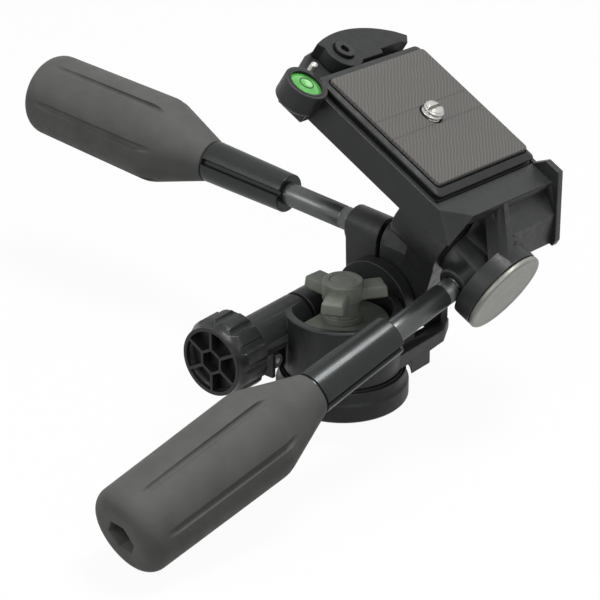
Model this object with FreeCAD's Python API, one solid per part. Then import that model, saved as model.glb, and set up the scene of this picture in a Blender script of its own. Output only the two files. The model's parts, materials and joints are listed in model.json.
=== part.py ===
import FreeCAD, Part
import math
import os

# Three-way photo tripod head, in millimetres. Origin: the pan axis on the underside of the base, +Z up.
# The head is posed as it stands at rest: tilted forward, and leaning a little to its +X side.

Vec = FreeCAD.Vector
X, Y, Z = Vec(1, 0, 0), Vec(0, 1, 0), Vec(0, 0, 1)

# Clearances
RUN = 0.05          # radial running fit of a turning pair
FACE = 0.1          # axial gap between two faces that turn on each other
SEAT = 0.3          # gap round a loose-fitting piece

# Pose
TILT_ANGLE = 28.7   # platform nose down
SIDE_ANGLE = 7.9    # platform's +X side down
REAR_DROOP = 24.6   # rear handle below the level platform
FRONT_DROOP = 25.3  # front handle below the level platform

# Base and pan bearing
BASE_R = 18.8
BASE_H = 9.0
BASE_CHAMFER = 0.8
SPIGOT_R = 9.2
SPIGOT_H = 9.3
INSERT_R = 7.4
INSERT_H = 11.0
THREAD_R = 3.97     # 3/8 inch tripod thread, at its crests
RING_T = 0.5        # friction ring on the base
SPINDLE_R = 3.2
SPINDLE_UP = 0.8    # spindle's end above the insert

# Pan body
CUP_R = 16.7
CUP_WALL = 2.4
CUP_RIM_Z = 27.2
CUP_FLOOR = 1.5
CUP_EASE = 0.6
YOKE_FRONT_Y = -15.2
YOKE_BACK_Y = 14.2
YOKE_Z = 6.0
YOKE_FLOOR = 3.2
YOKE_STEP_X = BASE_R + 2.2  # the yoke's underside rises outboard of here
YOKE_STEP = 4.8
YOKE_CORNER = 7.0   # cut-off front corner of the yoke's floor, along X
CHEEK_R = 12.7
NEAR_CHEEK = 4.1
FAR_CHEEK = 3.8

# Tilt joint
TILT_Y = 1.0
TILT_Z = 22.5
TILT_X = 24.4       # middle of the tilt drum
DRUM_W = 11.0
DRUM_R = 12.3
WASHER_T = 0.5
TILT_SHAFT_R = 5.0
CLAMP_RISE = 16.5   # clamp screw above the tilt axis
CLAMP_REAR = 15.4   # rear ear's face behind the tilt axis
CLAMP_FRONT = 12.0  # front ear's face ahead of the tilt axis
WEB_FOOT = 13.0     # clamp web's rear edge behind the tilt axis, at its foot
SLIT_BACK = 2.6     # middle of the clamp slit behind the tilt axis
SLIT_W = 1.3
STUD_R = 3.0        # M6 thread of both handles

# Side-tilt joint, measured from the tilt axis in the level tilt body
SIDE_X = 21.6
SIDE_AHEAD = 29.8   # cover's outer face ahead of the tilt axis
SIDE_UP = 31.1
BLOCK_R = 9.6
BLOCK_L = 17.5
SIDE_SHAFT_R = 4.2
COLLAR_R = 7.4
COLLAR_END = 18.5   # collar's rear face behind the cover's outer face
COVER_R = 12.9
COVER_T = 1.4
COVER_STEP = 0.4    # groove between the cover and the bracket
END_WALL = 7.2      # bracket's end boss, back to here
NUT_R = 7.0         # across corners / 2
NUT_T = 2.6
NUT_ROOM = 1.2
HUB_FRONT = 10.8    # side-tilt axis to the front rod's shoulder
HUB_BACK = 10.75    # front handle behind the cover's outer face
HUB_GAP = 0.4
BOSS_R = 5.5
SHOE_L = 1.5
CLAMP_NUT_R = 4.7
CLAMP_NUT_T = 3.2

# Platform, measured from the side-tilt axis and the cover's outer face
SHELF_Y = 15.0      # front edge of the tray's shelf
SHELF_L = 8.0
PAD_Z = 25.2        # top of the pad
PAD_T = 1.4
PAD_PROUD = 0.6
PLATE_L = 48.0
PLATE_W = 49.6
PLATE_T = 6.2
PLATE_BEVEL = 2.6
PLATE_DROP = 1.3    # height of the bevel
PLATE_RIM_T = 0.7   # upright rim under the bevel
PLATE_WAIST = 1.2   # depth and height of the groove below the rim
END_MARGIN = 2.7    # plate's ends to the pad
SIDE_MARGIN = 1.85  # plate's sides to the pad
RAIL_W = 1.6        # tray's side rails beside the plate
TRAY_Z = 13.05      # underside of the tray
RAIL_DROP = 3.6     # rail tops below the pad
SHELF_T = 3.4
WALL_T = 2.6
WALL_RISE = 3.6     # right wall's corner above the shelf
WALL_FOOT_Y = 4.2
WALL_FOOT_Z = 8.4
BACKING_T = 3.0     # wall behind the right pocket
CREASE_Y = 8.8      # crease in that wall
CREASE_Z = 14.4
UNDER_Y = 10.6      # tray's underside begins here
POCKET_T = 2.2      # depth of the pockets under the tray
TRAY_WALL = 2.4
RIB_X = -0.5        # middle rib, at the shelf
RIB_TOP_W = 2.4
RIB_FOOT_W = 4.4
HANGER_HALF = 3.0   # web between the tray and the collar
CORNER_L = 5.7      # cut-off corner of the shelf, along the tray
CORNER_W = 10.0     # and across it
TIP_L = 2.2         # pointed end of the left side wall, ahead of the shelf
TIP_RISE = 2.1

# Camera screw, 1/4 inch
SCREW_R = 3.17      # thread, at its crests
SCREW_NECK_R = 2.5
SCREW_PROUD = 2.8
SCREW_HEAD_R = 7.6
SCREW_HEAD_T = 2.2
SCREW_SLOT = 1.1
CLIP_R = 5.2
CLIP_T = 0.6

# Handles, measured out from the rod's shoulder
ROD_R = 3.43
SLEEVE_START = 24.3
GRIP_START = 54.0
SHOULDER = 73.2
GRIP_END = 121.4
SLEEVE_R_IN = 5.78
SLEEVE_R_OUT = 6.3
SHOULDER_R = 13.2
GRIP_END_R = 12.55
GRIP_ROUND = 4.5
SHOULDER_ROUND = 9.0
GROOVES = 6
GROOVE_R = 1.1
GROOVE_TURN = 10.0
GROOVE_SHORT = 9.0  # grooves stop short of the grip's end
REAR_GROOVE = 200.0 # turn of each sleeve's groove about the handle
FRONT_GROOVE = 286.0
GRIP_HEX = 5.0      # hex hole in the grip's end, across corners / 2
GRIP_HOLE_L = 14.0
JOINT_L = 0.6       # neck between the sleeve and the grip
JOINT_T = 0.5
SLEEVE_EDGE = 0.4
SLEEVE_GROOVE_W = 1.8
SLEEVE_GROOVE_T = 1.3
ROD_TAIL = 18.0     # rod stops this far short of the grip's end

# Pan lock knob
LOCK_Y = 13.9
LOCK_Z = 21.5
LOCK_FACE_X = -40.2
LOCK_L = 11.8
LOCK_R = 10.0       # rim
LOCK_BACK_R = 11.3
LOCK_FLUTES = 12
NECK_R = 6.4
NECK_X = -27.2
LOCK_NUT_X = 8.0
LOCK_STUD_R = 2.5
LOCK_SLIT_X = -3.0
FLUTE_R = 1.6
LOCK_NUT_R = 4.4
LOCK_NUT_T = 3.0
LOCK_RIM = 1.2
CELL_DEPTH = 3.0
CELL_R = 4.2        # middle cell of the knob's face, across corners / 2
CELL_RIB = 1.0
WEB_T = 4.0         # web under the neck
WEB_RIB_X = -19.2
STOP_X = -15.8
STOP_Z = 13.0
STOP_R = 1.4

# Wing knob and the wide pressure plate under it
WING_WASHER_T = 3.6
WING_WASHER_R = 13.4
WING_TOP_Z = 35.7
WING_HUB_R = 5.8
WING_NECK_R = 4.7   # neck between the head and the foot
WING_FOOT_T = 2.0
WING_LOBES = 3
LOBE_REACH = 12.4
LOBE_W = 6.8
LOBE_T = 3.8
LOBE_DROP = 1.9     # lobes' tops below the head's
LOBE_ROUND = 1.2
WING_TURN = 84.0

# Release lever; its pivot is this far behind the plate
LEVER_X = -1.4
LEVER_GAP = 7.3
LEVER_T = 4.4
LEVER_REACH = 30.4
LEVER_BULGE = 6.8
LEVER_TIP_W = 4.2
LEVER_NECK_R = 6.2
PIVOT_R = 1.7
PIVOT_HEAD_R = 3.0
PIVOT_HEAD_T = 1.6
SPRING_R = 4.6
SPRING_WIRE = 0.9
SPRING_TURNS = 3
DECK_L = 15.5       # tray deck behind the plate
DECK_DROP = 4.9     # deck below the rail tops

# Spirit level, beside the plate's rear left corner
LEVEL_SIDE = 5.8
LEVEL_AHEAD = 0.6
LEVEL_R = 6.4
LEVEL_H = 7.4
LEVEL_TOP = 23.9
VIAL_R = 4.7
VIAL_H = 4.4
VIAL_DOME = 0.9
LEVEL_BEZEL = 0.6

# Stop pin behind the plate
PIN_X = -18.4
PIN_GAP = 5.4
PIN_R = 1.1


# Placements: the tilted body, and the platform that leans on it
TILT_FRAME = FreeCAD.Placement(Vec(0, TILT_Y, TILT_Z), FreeCAD.Rotation(X, TILT_ANGLE))
LEAN = FreeCAD.Placement(Vec(SIDE_X, -SIDE_AHEAD, SIDE_UP), FreeCAD.Rotation(Y, SIDE_ANGLE))
SIDE_FRAME = TILT_FRAME.multiply(LEAN)

# Handle directions: the rear one in the tilt frame, the front one in the platform's
REAR_AXIS = Vec(0, math.cos(math.radians(REAR_DROOP)), -math.sin(math.radians(REAR_DROOP)))
REAR_RISE = Vec(0, math.sin(math.radians(REAR_DROOP)), math.cos(math.radians(REAR_DROOP)))
FRONT_AXIS = Vec(-math.cos(math.radians(FRONT_DROOP)), 0, -math.sin(math.radians(FRONT_DROOP)))

# Levels shared by several pieces
PAN_Z = BASE_H + RING_T + FACE
FLOOR_Z = BASE_H + SPIGOT_H + 2 * FACE
CUP_FLOOR_Z = FLOOR_Z + CUP_FLOOR
WING_Z = CUP_FLOOR_Z + WING_WASHER_T
DRUM_X0 = TILT_X - DRUM_W / 2
DRUM_X1 = TILT_X + DRUM_W / 2
NEAR_X1 = DRUM_X0 - WASHER_T - FACE
NEAR_X0 = NEAR_X1 - NEAR_CHEEK
FAR_X0 = DRUM_X1 + WASHER_T + FACE
FAR_X1 = FAR_X0 + FAR_CHEEK
EAR_R = DRUM_W / 2
SHAFT_X0 = NEAR_X0 + 1
NUT_Y = COVER_T + 3 * FACE
RECESS_Y = NUT_Y + NUT_T + WASHER_T + FACE
BLOCK_Y = COLLAR_END + FACE + WASHER_T
STUD_END = SIDE_SHAFT_R + RUN + SHOE_L
PLATE_TOP = PAD_Z - PAD_PROUD
PLATE_Z = PLATE_TOP - PLATE_T
RAIL_TOP = PAD_Z - RAIL_DROP
FLOOR_TOP = PLATE_Z
POCKET_HALF = PLATE_W / 2 + SEAT
TRAY_HALF = POCKET_HALF + RAIL_W
POCKET_Y0 = SHELF_Y + SHELF_L
PLATE_Y0 = POCKET_Y0 + SEAT
PLATE_Y1 = PLATE_Y0 + PLATE_L
POCKET_Y1 = PLATE_Y1 + SEAT
PAD_Y = PLATE_Y0 + PLATE_L / 2
PAD_L = PLATE_L - 2 * END_MARGIN
PAD_W = PLATE_W - 2 * SIDE_MARGIN
TRAY_Y1 = POCKET_Y1 + DECK_L
LEVER_Y = PLATE_Y1 + LEVER_GAP
DECK_Z = RAIL_TOP - DECK_DROP
LEVER_Z = DECK_Z + FACE
LEVER_TOP = LEVER_Z + LEVER_T
LEVEL_X = -PLATE_W / 2 - LEVEL_SIDE
LEVEL_Y = PLATE_Y1 - LEVEL_AHEAD
PIN_Y = PLATE_Y1 + PIN_GAP
HEAD_Z = PLATE_Z + FACE


# Shapes

def box(x0, x1, y0, y1, z0, z1):
    return Part.makeBox(x1 - x0, y1 - y0, z1 - z0, Vec(x0, y0, z0))


def rod(radius, start, axis, length):
    return Part.makeCylinder(radius, length, start, axis)


def tube(outer, inner, start, axis, length):
    return rod(outer, start, axis, length).cut(rod(inner, start, axis, length))


def prism(points, travel):
    face = Part.Face(Part.makePolygon(points + [points[0]]))
    return face.extrude(travel)


def side_prism(x0, x1, outline):
    """Prism along X from (y, z) points."""
    return prism([Vec(x0, y, z) for y, z in outline], Vec(x1 - x0, 0, 0))


def plan_prism(z0, z1, outline):
    """Prism along Z from (x, y) points."""
    return prism([Vec(x, y, z0) for x, y in outline], Vec(0, 0, z1 - z0))


def solid_of(corners, faces):
    """Flat-sided solid from its corners and, for each face, the corners round it."""
    shells = [Part.Face(Part.makePolygon([corners[n] for n in face + face[:1]])) for face in faces]
    return Part.Solid(Part.Shell(shells))


def hexagon(reach, height):
    """Hexagonal prism along +Z, with a corner on X."""
    turns = [math.radians(60 * n) for n in range(6)]
    return plan_prism(0, height, [(reach * math.cos(turn), reach * math.sin(turn)) for turn in turns])


def turned(profile):
    """Solid of revolution about Z from (radius, height) points."""
    points = [Vec(r, 0, z) for r, z in profile]
    face = Part.Face(Part.makePolygon(points + [points[0]]))
    return face.revolve(Vec(0, 0, 0), Z, 360)


def ring_edges(shape, radius, centre, axis):
    """Circular edges of a radius about a point, seen along an axis."""
    found = []
    for edge in shape.Edges:
        curve = edge.Curve
        if not isinstance(curve, Part.Circle) or abs(curve.Radius - radius) > 1e-4:
            continue
        if abs(abs(curve.Axis * axis) - 1) < 1e-6 and (curve.Center - centre).Length < 1e-3:
            found.append(edge)
    return found


def aim(origin, direction):
    """Placement that carries +Z onto a direction, from an origin."""
    return FreeCAD.Placement(origin, FreeCAD.Rotation(Z, direction))


def placed(shape, placement):
    moved = shape.copy()
    moved.Placement = placement.multiply(moved.Placement)
    return moved


def joined(shapes):
    return shapes[0].multiFuse(shapes[1:]).removeSplitter()


def save(name, shape, placement=FreeCAD.Placement()):
    placed(shape, placement).exportStep("parts/" + name + ".step")


# Base

def pan_base():
    body = turned([
        (0, 0), (BASE_R - BASE_CHAMFER, 0), (BASE_R, BASE_CHAMFER), (BASE_R, 0.6 * BASE_H),
        (BASE_R - BASE_CHAMFER, 0.6 * BASE_H + BASE_CHAMFER), (BASE_R - BASE_CHAMFER, BASE_H),
        (SPIGOT_R, BASE_H), (SPIGOT_R, BASE_H + SPIGOT_H), (0, BASE_H + SPIGOT_H)])
    body = body.cut(rod(INSERT_R, Vec(0, 0, 0), Z, INSERT_H))
    return body.cut(rod(SPINDLE_R, Vec(0, 0, INSERT_H), Z, BASE_H + SPIGOT_H - INSERT_H))


def thread_insert():
    return tube(INSERT_R, THREAD_R, Vec(0, 0, 0), Z, INSERT_H)


def pan_spindle():
    start = INSERT_H + SPINDLE_UP
    return rod(SPINDLE_R, Vec(0, 0, start), Z, WING_TOP_Z - 1 - start)


def friction_ring():
    return tube(BASE_R - 2 * BASE_CHAMFER, SPIGOT_R, Vec(0, 0, BASE_H), Z, RING_T)


# Pan body

def cheek(x0, x1):
    disc = rod(CHEEK_R, Vec(x0, TILT_Y, TILT_Z), X, x1 - x0)
    leg = box(x0, x1, TILT_Y - CHEEK_R, TILT_Y + CHEEK_R, YOKE_Z + YOKE_STEP, TILT_Z)
    return disc.fuse(leg)


def yoke_block():
    """Block under the tilt drum; its underside steps up outboard of the base."""
    foot = YOKE_Z + YOKE_STEP
    top = foot + YOKE_FLOOR
    outline = [(0, YOKE_Z), (YOKE_STEP_X, YOKE_Z), (YOKE_STEP_X, foot - 1), (FAR_X1 - 1, foot),
               (FAR_X1, foot + 1), (FAR_X1, top), (0, top)]
    block = prism([Vec(x, YOKE_FRONT_Y, z) for x, z in outline], Vec(0, YOKE_BACK_Y - YOKE_FRONT_Y, 0))
    corner = plan_prism(YOKE_Z, top, [(FAR_X1 - YOKE_CORNER, YOKE_FRONT_Y), (FAR_X1, YOKE_FRONT_Y),
                                      (FAR_X1, TILT_Y - CHEEK_R)])
    return block.cut(corner)


def lock_neck():
    """Boss of the pan clamp, its web and the web's ribs."""
    front = LOCK_Y - WEB_T / 2
    neck = rod(NECK_R, Vec(NECK_X, LOCK_Y, LOCK_Z), X, LOCK_NUT_X - NECK_X)
    web = box(NECK_X + NECK_R, LOCK_NUT_X, front, front + WEB_T, PAN_Z, LOCK_Z)
    rib = box(WEB_RIB_X - 0.7, WEB_RIB_X + 0.7, front - 3, front, PAN_Z, LOCK_Z)
    return joined([neck, web, rib])


def pan_body():
    cup = rod(CUP_R, Vec(0, 0, PAN_Z), Z, CUP_RIM_Z - PAN_Z)
    bridge = box(0, NEAR_X1, TILT_Y - CHEEK_R, TILT_Y + CHEEK_R, PAN_Z, TILT_Z)
    outside = joined([cup, bridge, yoke_block(), cheek(NEAR_X0, NEAR_X1), cheek(FAR_X0, FAR_X1)])
    hollow = rod(CUP_R - CUP_WALL, Vec(0, 0, CUP_FLOOR_Z), Z, WING_TOP_Z)
    hollow = hollow.cut(box(NEAR_X0, CUP_R, -CUP_R, CUP_R, CUP_FLOOR_Z, 2 * WING_TOP_Z))
    body = joined([outside.cut(hollow), lock_neck()])
    slit_x = LOCK_SLIT_X - SLIT_W / 2
    cuts = [
        rod(BASE_R + 2 * SEAT, Vec(0, 0, 0), Z, PAN_Z),
        rod(SPIGOT_R + RUN, Vec(0, 0, 0), Z, FLOOR_Z),
        rod(SPINDLE_R + RUN, Vec(0, 0, 0), Z, WING_TOP_Z),
        rod(WEB_FOOT + 2 * SEAT, Vec(NEAR_X1, TILT_Y, TILT_Z), X, FAR_X0 - NEAR_X1),
        rod(TILT_SHAFT_R, Vec(SHAFT_X0, TILT_Y, TILT_Z), X, FAR_X1),
        rod(LOCK_STUD_R + RUN, Vec(NECK_X, LOCK_Y, LOCK_Z), X, LOCK_NUT_X - NECK_X),
        placed(hexagon(LOCK_NUT_R, LOCK_NUT_T), lock_nut_place()),
        box(slit_x, slit_x + SLIT_W, SPIGOT_R / 2, 2 * CUP_R, 0, 2 * WING_TOP_Z),
        placed(rod(STOP_R, Vec(0, 0, -WEB_T / 2), Z, WEB_T / 2), stop_place()),
    ]
    body = body.cut(cuts)
    rims = ring_edges(body, CUP_R, Vec(0, 0, CUP_RIM_Z), Z)
    rims += ring_edges(body, CHEEK_R, Vec(FAR_X1, TILT_Y, TILT_Z), X)
    rims += ring_edges(body, NECK_R, Vec(NECK_X, LOCK_Y, LOCK_Z), X)
    return body.makeChamfer(CUP_EASE, rims)


def tilt_shaft():
    return rod(TILT_SHAFT_R, Vec(SHAFT_X0, TILT_Y, TILT_Z), X, FAR_X1 - SHAFT_X0)


def tilt_washers():
    faces = [DRUM_X0 - WASHER_T, DRUM_X1]
    return Part.makeCompound([tube(DRUM_R - 1, TILT_SHAFT_R + RUN, Vec(x, 0, 0), X, WASHER_T) for x in faces])


def stop_place():
    return aim(Vec(STOP_X, LOCK_Y - WEB_T / 2, STOP_Z), Y * -1)


def stop_screw():
    shank = rod(STOP_R, Vec(0, 0, -WEB_T / 2), Z, WEB_T / 2)
    head = rod(1.5 * STOP_R, Vec(0, 0, 0), Z, STOP_R)
    socket = placed(hexagon(0.8 * STOP_R, STOP_R), aim(Vec(0, 0, STOP_R / 2), Z))
    return shank.fuse(head).cut(socket)


# Pan lock

def lock_nut_place():
    return aim(Vec(LOCK_NUT_X - LOCK_NUT_T, LOCK_Y, LOCK_Z), X)


def lock_nut():
    return hexagon(LOCK_NUT_R, LOCK_NUT_T).cut(rod(LOCK_STUD_R + RUN, Vec(0, 0, 0), Z, LOCK_NUT_T))


def lock_cells():
    """Pockets of the knob's face: a hexagon in the middle and six cells round it."""
    floor = Vec(0, 0, LOCK_L - CELL_DEPTH)
    field = rod(LOCK_R - LOCK_RIM, floor, Z, CELL_DEPTH)
    frame = placed(hexagon(CELL_R, CELL_DEPTH), aim(floor, Z))
    middle = placed(hexagon(CELL_R - CELL_RIB, CELL_DEPTH), aim(floor, Z))
    spokes = []
    for n in range(6):
        spoke = box(0, LOCK_R, -CELL_RIB / 2, CELL_RIB / 2, LOCK_L - CELL_DEPTH, LOCK_L)
        spoke.rotate(Vec(0, 0, 0), Z, 60 * n)
        spokes.append(spoke)
    return [field.cut([frame] + spokes), middle]


def lock_knob():
    """Knob along +Z from its back end, with flutes behind its rim."""
    body = turned([(0, 0), (LOCK_BACK_R - 1, 0), (LOCK_BACK_R, 1), (LOCK_BACK_R, LOCK_L - 3 * LOCK_RIM),
                   (LOCK_R, LOCK_L - LOCK_RIM), (LOCK_R, LOCK_L), (0, LOCK_L)])
    flutes = []
    reach = LOCK_BACK_R + 0.5 * FLUTE_R
    for n in range(LOCK_FLUTES):
        turn = math.radians(360 * n / LOCK_FLUTES)
        centre = Vec(reach * math.cos(turn), reach * math.sin(turn), 0)
        flutes.append(rod(FLUTE_R, centre, Z, LOCK_L - LOCK_RIM))
    bore = rod(LOCK_STUD_R, Vec(0, 0, 0), Z, LOCK_L / 2)
    return body.cut(flutes + lock_cells() + [bore])


def lock_screw():
    start = LOCK_FACE_X + LOCK_L / 2
    return rod(LOCK_STUD_R, Vec(start, LOCK_Y, LOCK_Z), X, LOCK_NUT_X - start)


# Wing knob

def wing_washer():
    """Pressure plate in the cup, kept from turning by a flat beside the lock's boss."""
    disc = rod(WING_WASHER_R, Vec(0, 0, CUP_FLOOR_Z), Z, WING_WASHER_T)
    disc = disc.makeChamfer(CUP_EASE, ring_edges(disc, WING_WASHER_R, Vec(0, 0, WING_Z), Z))
    flat_y = LOCK_Y - NECK_R - 2 * SEAT
    return disc.cut([
        rod(SPINDLE_R + RUN, Vec(0, 0, 0), Z, WING_TOP_Z),
        box(-CUP_R, CUP_R, flat_y, CUP_R, CUP_FLOOR_Z, WING_TOP_Z),
    ])


def wing_lobe(turn):
    top = WING_TOP_Z - LOBE_DROP
    lobe = box(0, LOBE_REACH, -LOBE_W / 2, LOBE_W / 2, top - LOBE_T, top)
    corners = [edge for edge in lobe.Edges if edge.BoundBox.XMin > LOBE_REACH - LOBE_ROUND
               and edge.BoundBox.ZLength > LOBE_T / 2]
    lobe = lobe.makeFillet(LOBE_ROUND, corners)
    lobe.rotate(Vec(0, 0, 0), Z, turn)
    return lobe


def wing_knob():
    """Knob with a flat head and three lobes on a narrower neck, and a foot on the pressure plate."""
    start = WING_Z + FACE
    head_z = WING_TOP_Z - LOBE_DROP - LOBE_T
    head = rod(WING_HUB_R, Vec(0, 0, head_z), Z, WING_TOP_Z - head_z)
    head = head.makeChamfer(CUP_EASE, ring_edges(head, WING_HUB_R, Vec(0, 0, WING_TOP_Z), Z))
    neck = rod(WING_NECK_R, Vec(0, 0, start), Z, head_z - start)
    foot = rod(WING_HUB_R, Vec(0, 0, start), Z, WING_FOOT_T)
    lobes = [wing_lobe(360 * n / WING_LOBES + WING_TURN) for n in range(WING_LOBES)]
    return joined([head, neck, foot] + lobes).cut(rod(SPINDLE_R + RUN, Vec(0, 0, 0), Z, WING_TOP_Z))


# Tilt body, in the level tilt frame

def clamp_point(back, rise=CLAMP_RISE):
    """Point on the clamp screw's axis, or below it, behind the tilt axis."""
    return Vec(TILT_X, 0, 0) + REAR_AXIS * back + REAR_RISE * rise


def clamp_ears():
    """Ears over the drum along the clamp screw, and the web that carries them."""
    barrel = rod(EAR_R, clamp_point(-CLAMP_FRONT), REAR_AXIS, CLAMP_FRONT + CLAMP_REAR)
    ends = []
    for back in (-CLAMP_FRONT, CLAMP_REAR):
        ends += ring_edges(barrel, EAR_R, clamp_point(back), REAR_AXIS)
    barrel = barrel.makeChamfer(CUP_EASE, ends)
    corners = [clamp_point(-CLAMP_FRONT + 1), clamp_point(CLAMP_REAR - 1), clamp_point(WEB_FOOT, 0),
               clamp_point(-0.6 * DRUM_R, 0)]
    return [barrel, prism([corner - X * EAR_R for corner in corners], X * DRUM_W)]


def clamp_slit():
    slit = box(-DRUM_W, DRUM_W, -SLIT_W / 2, SLIT_W / 2, 0, CLAMP_RISE + EAR_R)
    slit = placed(slit, FreeCAD.Placement(Vec(TILT_X, 0, 0), FreeCAD.Rotation(X, -REAR_DROOP)))
    slit.translate(REAR_AXIS * SLIT_BACK)
    return slit


def clamp_nut_place():
    return aim(clamp_point(-CLAMP_FRONT), REAR_AXIS)


def clamp_nut():
    return hexagon(CLAMP_NUT_R, CLAMP_NUT_T).cut(rod(STUD_R + RUN, Vec(0, 0, 0), Z, CLAMP_NUT_T))


def side_block():
    """Barrel that holds the side-tilt shaft, and the neck down to the drum."""
    start = BLOCK_Y - SIDE_AHEAD
    barrel = rod(BLOCK_R, Vec(SIDE_X, start, SIDE_UP), Y, BLOCK_L)
    rims = ring_edges(barrel, BLOCK_R, Vec(SIDE_X, start + BLOCK_L, SIDE_UP), Y)
    barrel = barrel.makeChamfer(CUP_EASE, rims)
    left = SIDE_X - 0.75 * BLOCK_R
    shoulder = SIDE_UP - 0.66 * BLOCK_R
    low = DRUM_R / 2
    neck = [Vec(DRUM_X0, start, low), Vec(DRUM_X1, start, low), Vec(DRUM_X1, start, SIDE_UP),
            Vec(left, start, SIDE_UP), Vec(left, start, shoulder), Vec(DRUM_X0, start, CHEEK_R + 2 * SEAT)]
    return [barrel, prism(neck, Vec(0, 0.6 * BLOCK_L, 0))]


def tilt_body():
    drum = rod(DRUM_R, Vec(DRUM_X0, 0, 0), X, DRUM_W)
    body = joined([drum] + side_block() + clamp_ears())
    start = BLOCK_Y - SIDE_AHEAD
    return body.cut([
        rod(TILT_SHAFT_R + RUN, Vec(DRUM_X0, 0, 0), X, DRUM_W),
        clamp_slit(),
        rod(STUD_R + RUN, clamp_point(-CLAMP_FRONT), REAR_AXIS, CLAMP_FRONT + CLAMP_REAR),
        placed(hexagon(CLAMP_NUT_R, CLAMP_NUT_T), clamp_nut_place()),
        rod(SIDE_SHAFT_R, Vec(SIDE_X, start, SIDE_UP), Y, BLOCK_L / 2),
    ])


def on_side_axis(shape):
    """Carries a piece modelled along +Z onto the side-tilt axis, from the cover's face backwards."""
    return placed(shape, aim(Vec(SIDE_X, -SIDE_AHEAD, SIDE_UP), Y))


def side_shaft():
    start = COVER_T + 2 * FACE
    return on_side_axis(rod(SIDE_SHAFT_R, Vec(0, 0, start), Z, BLOCK_Y + BLOCK_L / 2 - start))


def side_nut():
    nut = placed(hexagon(NUT_R, NUT_T), aim(Vec(0, 0, NUT_Y), Z))
    return on_side_axis(nut.cut(rod(SIDE_SHAFT_R, Vec(0, 0, 0), Z, COLLAR_END)))


def side_washers():
    starts = [NUT_Y + NUT_T, COLLAR_END + FACE]
    rings = [tube(COLLAR_R, SIDE_SHAFT_R, Vec(0, 0, start), Z, WASHER_T) for start in starts]
    return on_side_axis(Part.makeCompound(rings))


# Handles, from the rod's shoulder outward along +Z

def handle_rod(stud):
    shank = rod(ROD_R, Vec(0, 0, 0), Z, GRIP_END - ROD_TAIL)
    return shank.fuse(rod(STUD_R, Vec(0, 0, -stud), Z, stud))


def handle_sleeve(groove_turn):
    """Tapered sleeve with a groove along its whole side and a narrow neck at the grip."""
    neck = GRIP_START - JOINT_L
    outside = turned([
        (0, SLEEVE_START), (SLEEVE_R_IN - SLEEVE_EDGE, SLEEVE_START),
        (SLEEVE_R_IN, SLEEVE_START + SLEEVE_EDGE), (SLEEVE_R_OUT, neck), (SLEEVE_R_OUT - JOINT_T, neck),
        (SLEEVE_R_OUT - JOINT_T, GRIP_START), (0, GRIP_START)])
    groove = box(SLEEVE_R_IN - SLEEVE_GROOVE_T, SHOULDER_R, -SLEEVE_GROOVE_W / 2, SLEEVE_GROOVE_W / 2,
                 SLEEVE_START, neck)
    groove.rotate(Vec(0, 0, 0), Z, groove_turn)
    return outside.cut([groove, rod(ROD_R, Vec(0, 0, 0), Z, GRIP_END)])


def grip_outline():
    outside = turned([(0, GRIP_START), (SLEEVE_R_OUT, GRIP_START), (SHOULDER_R, SHOULDER),
                      (GRIP_END_R, GRIP_END), (0, GRIP_END)])
    outside = outside.makeFillet(SHOULDER_ROUND, ring_edges(outside, SHOULDER_R, Vec(0, 0, SHOULDER), Z))
    return outside.makeFillet(GRIP_ROUND, ring_edges(outside, GRIP_END_R, Vec(0, 0, GRIP_END), Z))


def handle_grip():
    """Rubber grip with grooves from its shoulder, and a hexagonal hole in its end."""
    cuts = [rod(ROD_R, Vec(0, 0, 0), Z, GRIP_END - ROD_TAIL)]
    cuts.append(placed(hexagon(GRIP_HEX, GRIP_HOLE_L), aim(Vec(0, 0, GRIP_END - GRIP_HOLE_L), Z)))
    reach = GRIP_END_R + 0.45 * GROOVE_R
    for n in range(GROOVES):
        turn = math.radians(360 * n / GROOVES + GROOVE_TURN)
        start = Vec(reach * math.cos(turn), reach * math.sin(turn), GRIP_START)
        end = start + Z * (GRIP_END - GRIP_START - GROOVE_SHORT)
        cuts += [rod(GROOVE_R, start, Z, (end - start).Length), Part.makeSphere(GROOVE_R, end)]
    return grip_outline().cut(cuts)


# Platform, from the side-tilt axis at the cover's outer face

def tray():
    """Deep tray: a pocket for the plate, a deck behind it and ribbed pockets below."""
    block = box(-TRAY_HALF, TRAY_HALF, SHELF_Y + CORNER_L, POCKET_Y1, TRAY_Z, RAIL_TOP)
    shelf = plan_prism(RAIL_TOP - SHELF_T, RAIL_TOP, [
        (-TRAY_HALF, SHELF_Y + CORNER_L), (-TRAY_HALF + CORNER_W, SHELF_Y), (TRAY_HALF, SHELF_Y),
        (TRAY_HALF, POCKET_Y0), (-TRAY_HALF, POCKET_Y0)])
    deck = plan_prism(TRAY_Z, DECK_Z, [
        (-TRAY_HALF, POCKET_Y1 - 1), (-TRAY_HALF + 6, TRAY_Y1 - 8), (-10, TRAY_Y1 - 3), (3, TRAY_Y1 - 1),
        (14, TRAY_Y1 - 2), (23, TRAY_Y1 - 6), (TRAY_HALF, TRAY_Y1 - 10), (TRAY_HALF, POCKET_Y1 - 1)])
    whole = joined([block, shelf, deck])
    cell_w = (2 * TRAY_HALF - 4 * TRAY_WALL) / 3
    cell_l = (PLATE_L - 2 * TRAY_WALL) / 3
    cells = []
    for column in range(3):
        for row in range(3):
            x = -TRAY_HALF + TRAY_WALL + column * (cell_w + TRAY_WALL)
            y = POCKET_Y0 + TRAY_WALL + row * (cell_l + TRAY_WALL)
            cells.append(box(x, x + cell_w, y, y + cell_l, TRAY_Z, TRAY_Z + POCKET_T))
    return whole.cut([plate_pocket()] + cells)


def plate_pocket():
    return box(-POCKET_HALF, POCKET_HALF, POCKET_Y0, POCKET_Y1 + 1, FLOOR_TOP, PAD_Z)


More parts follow.
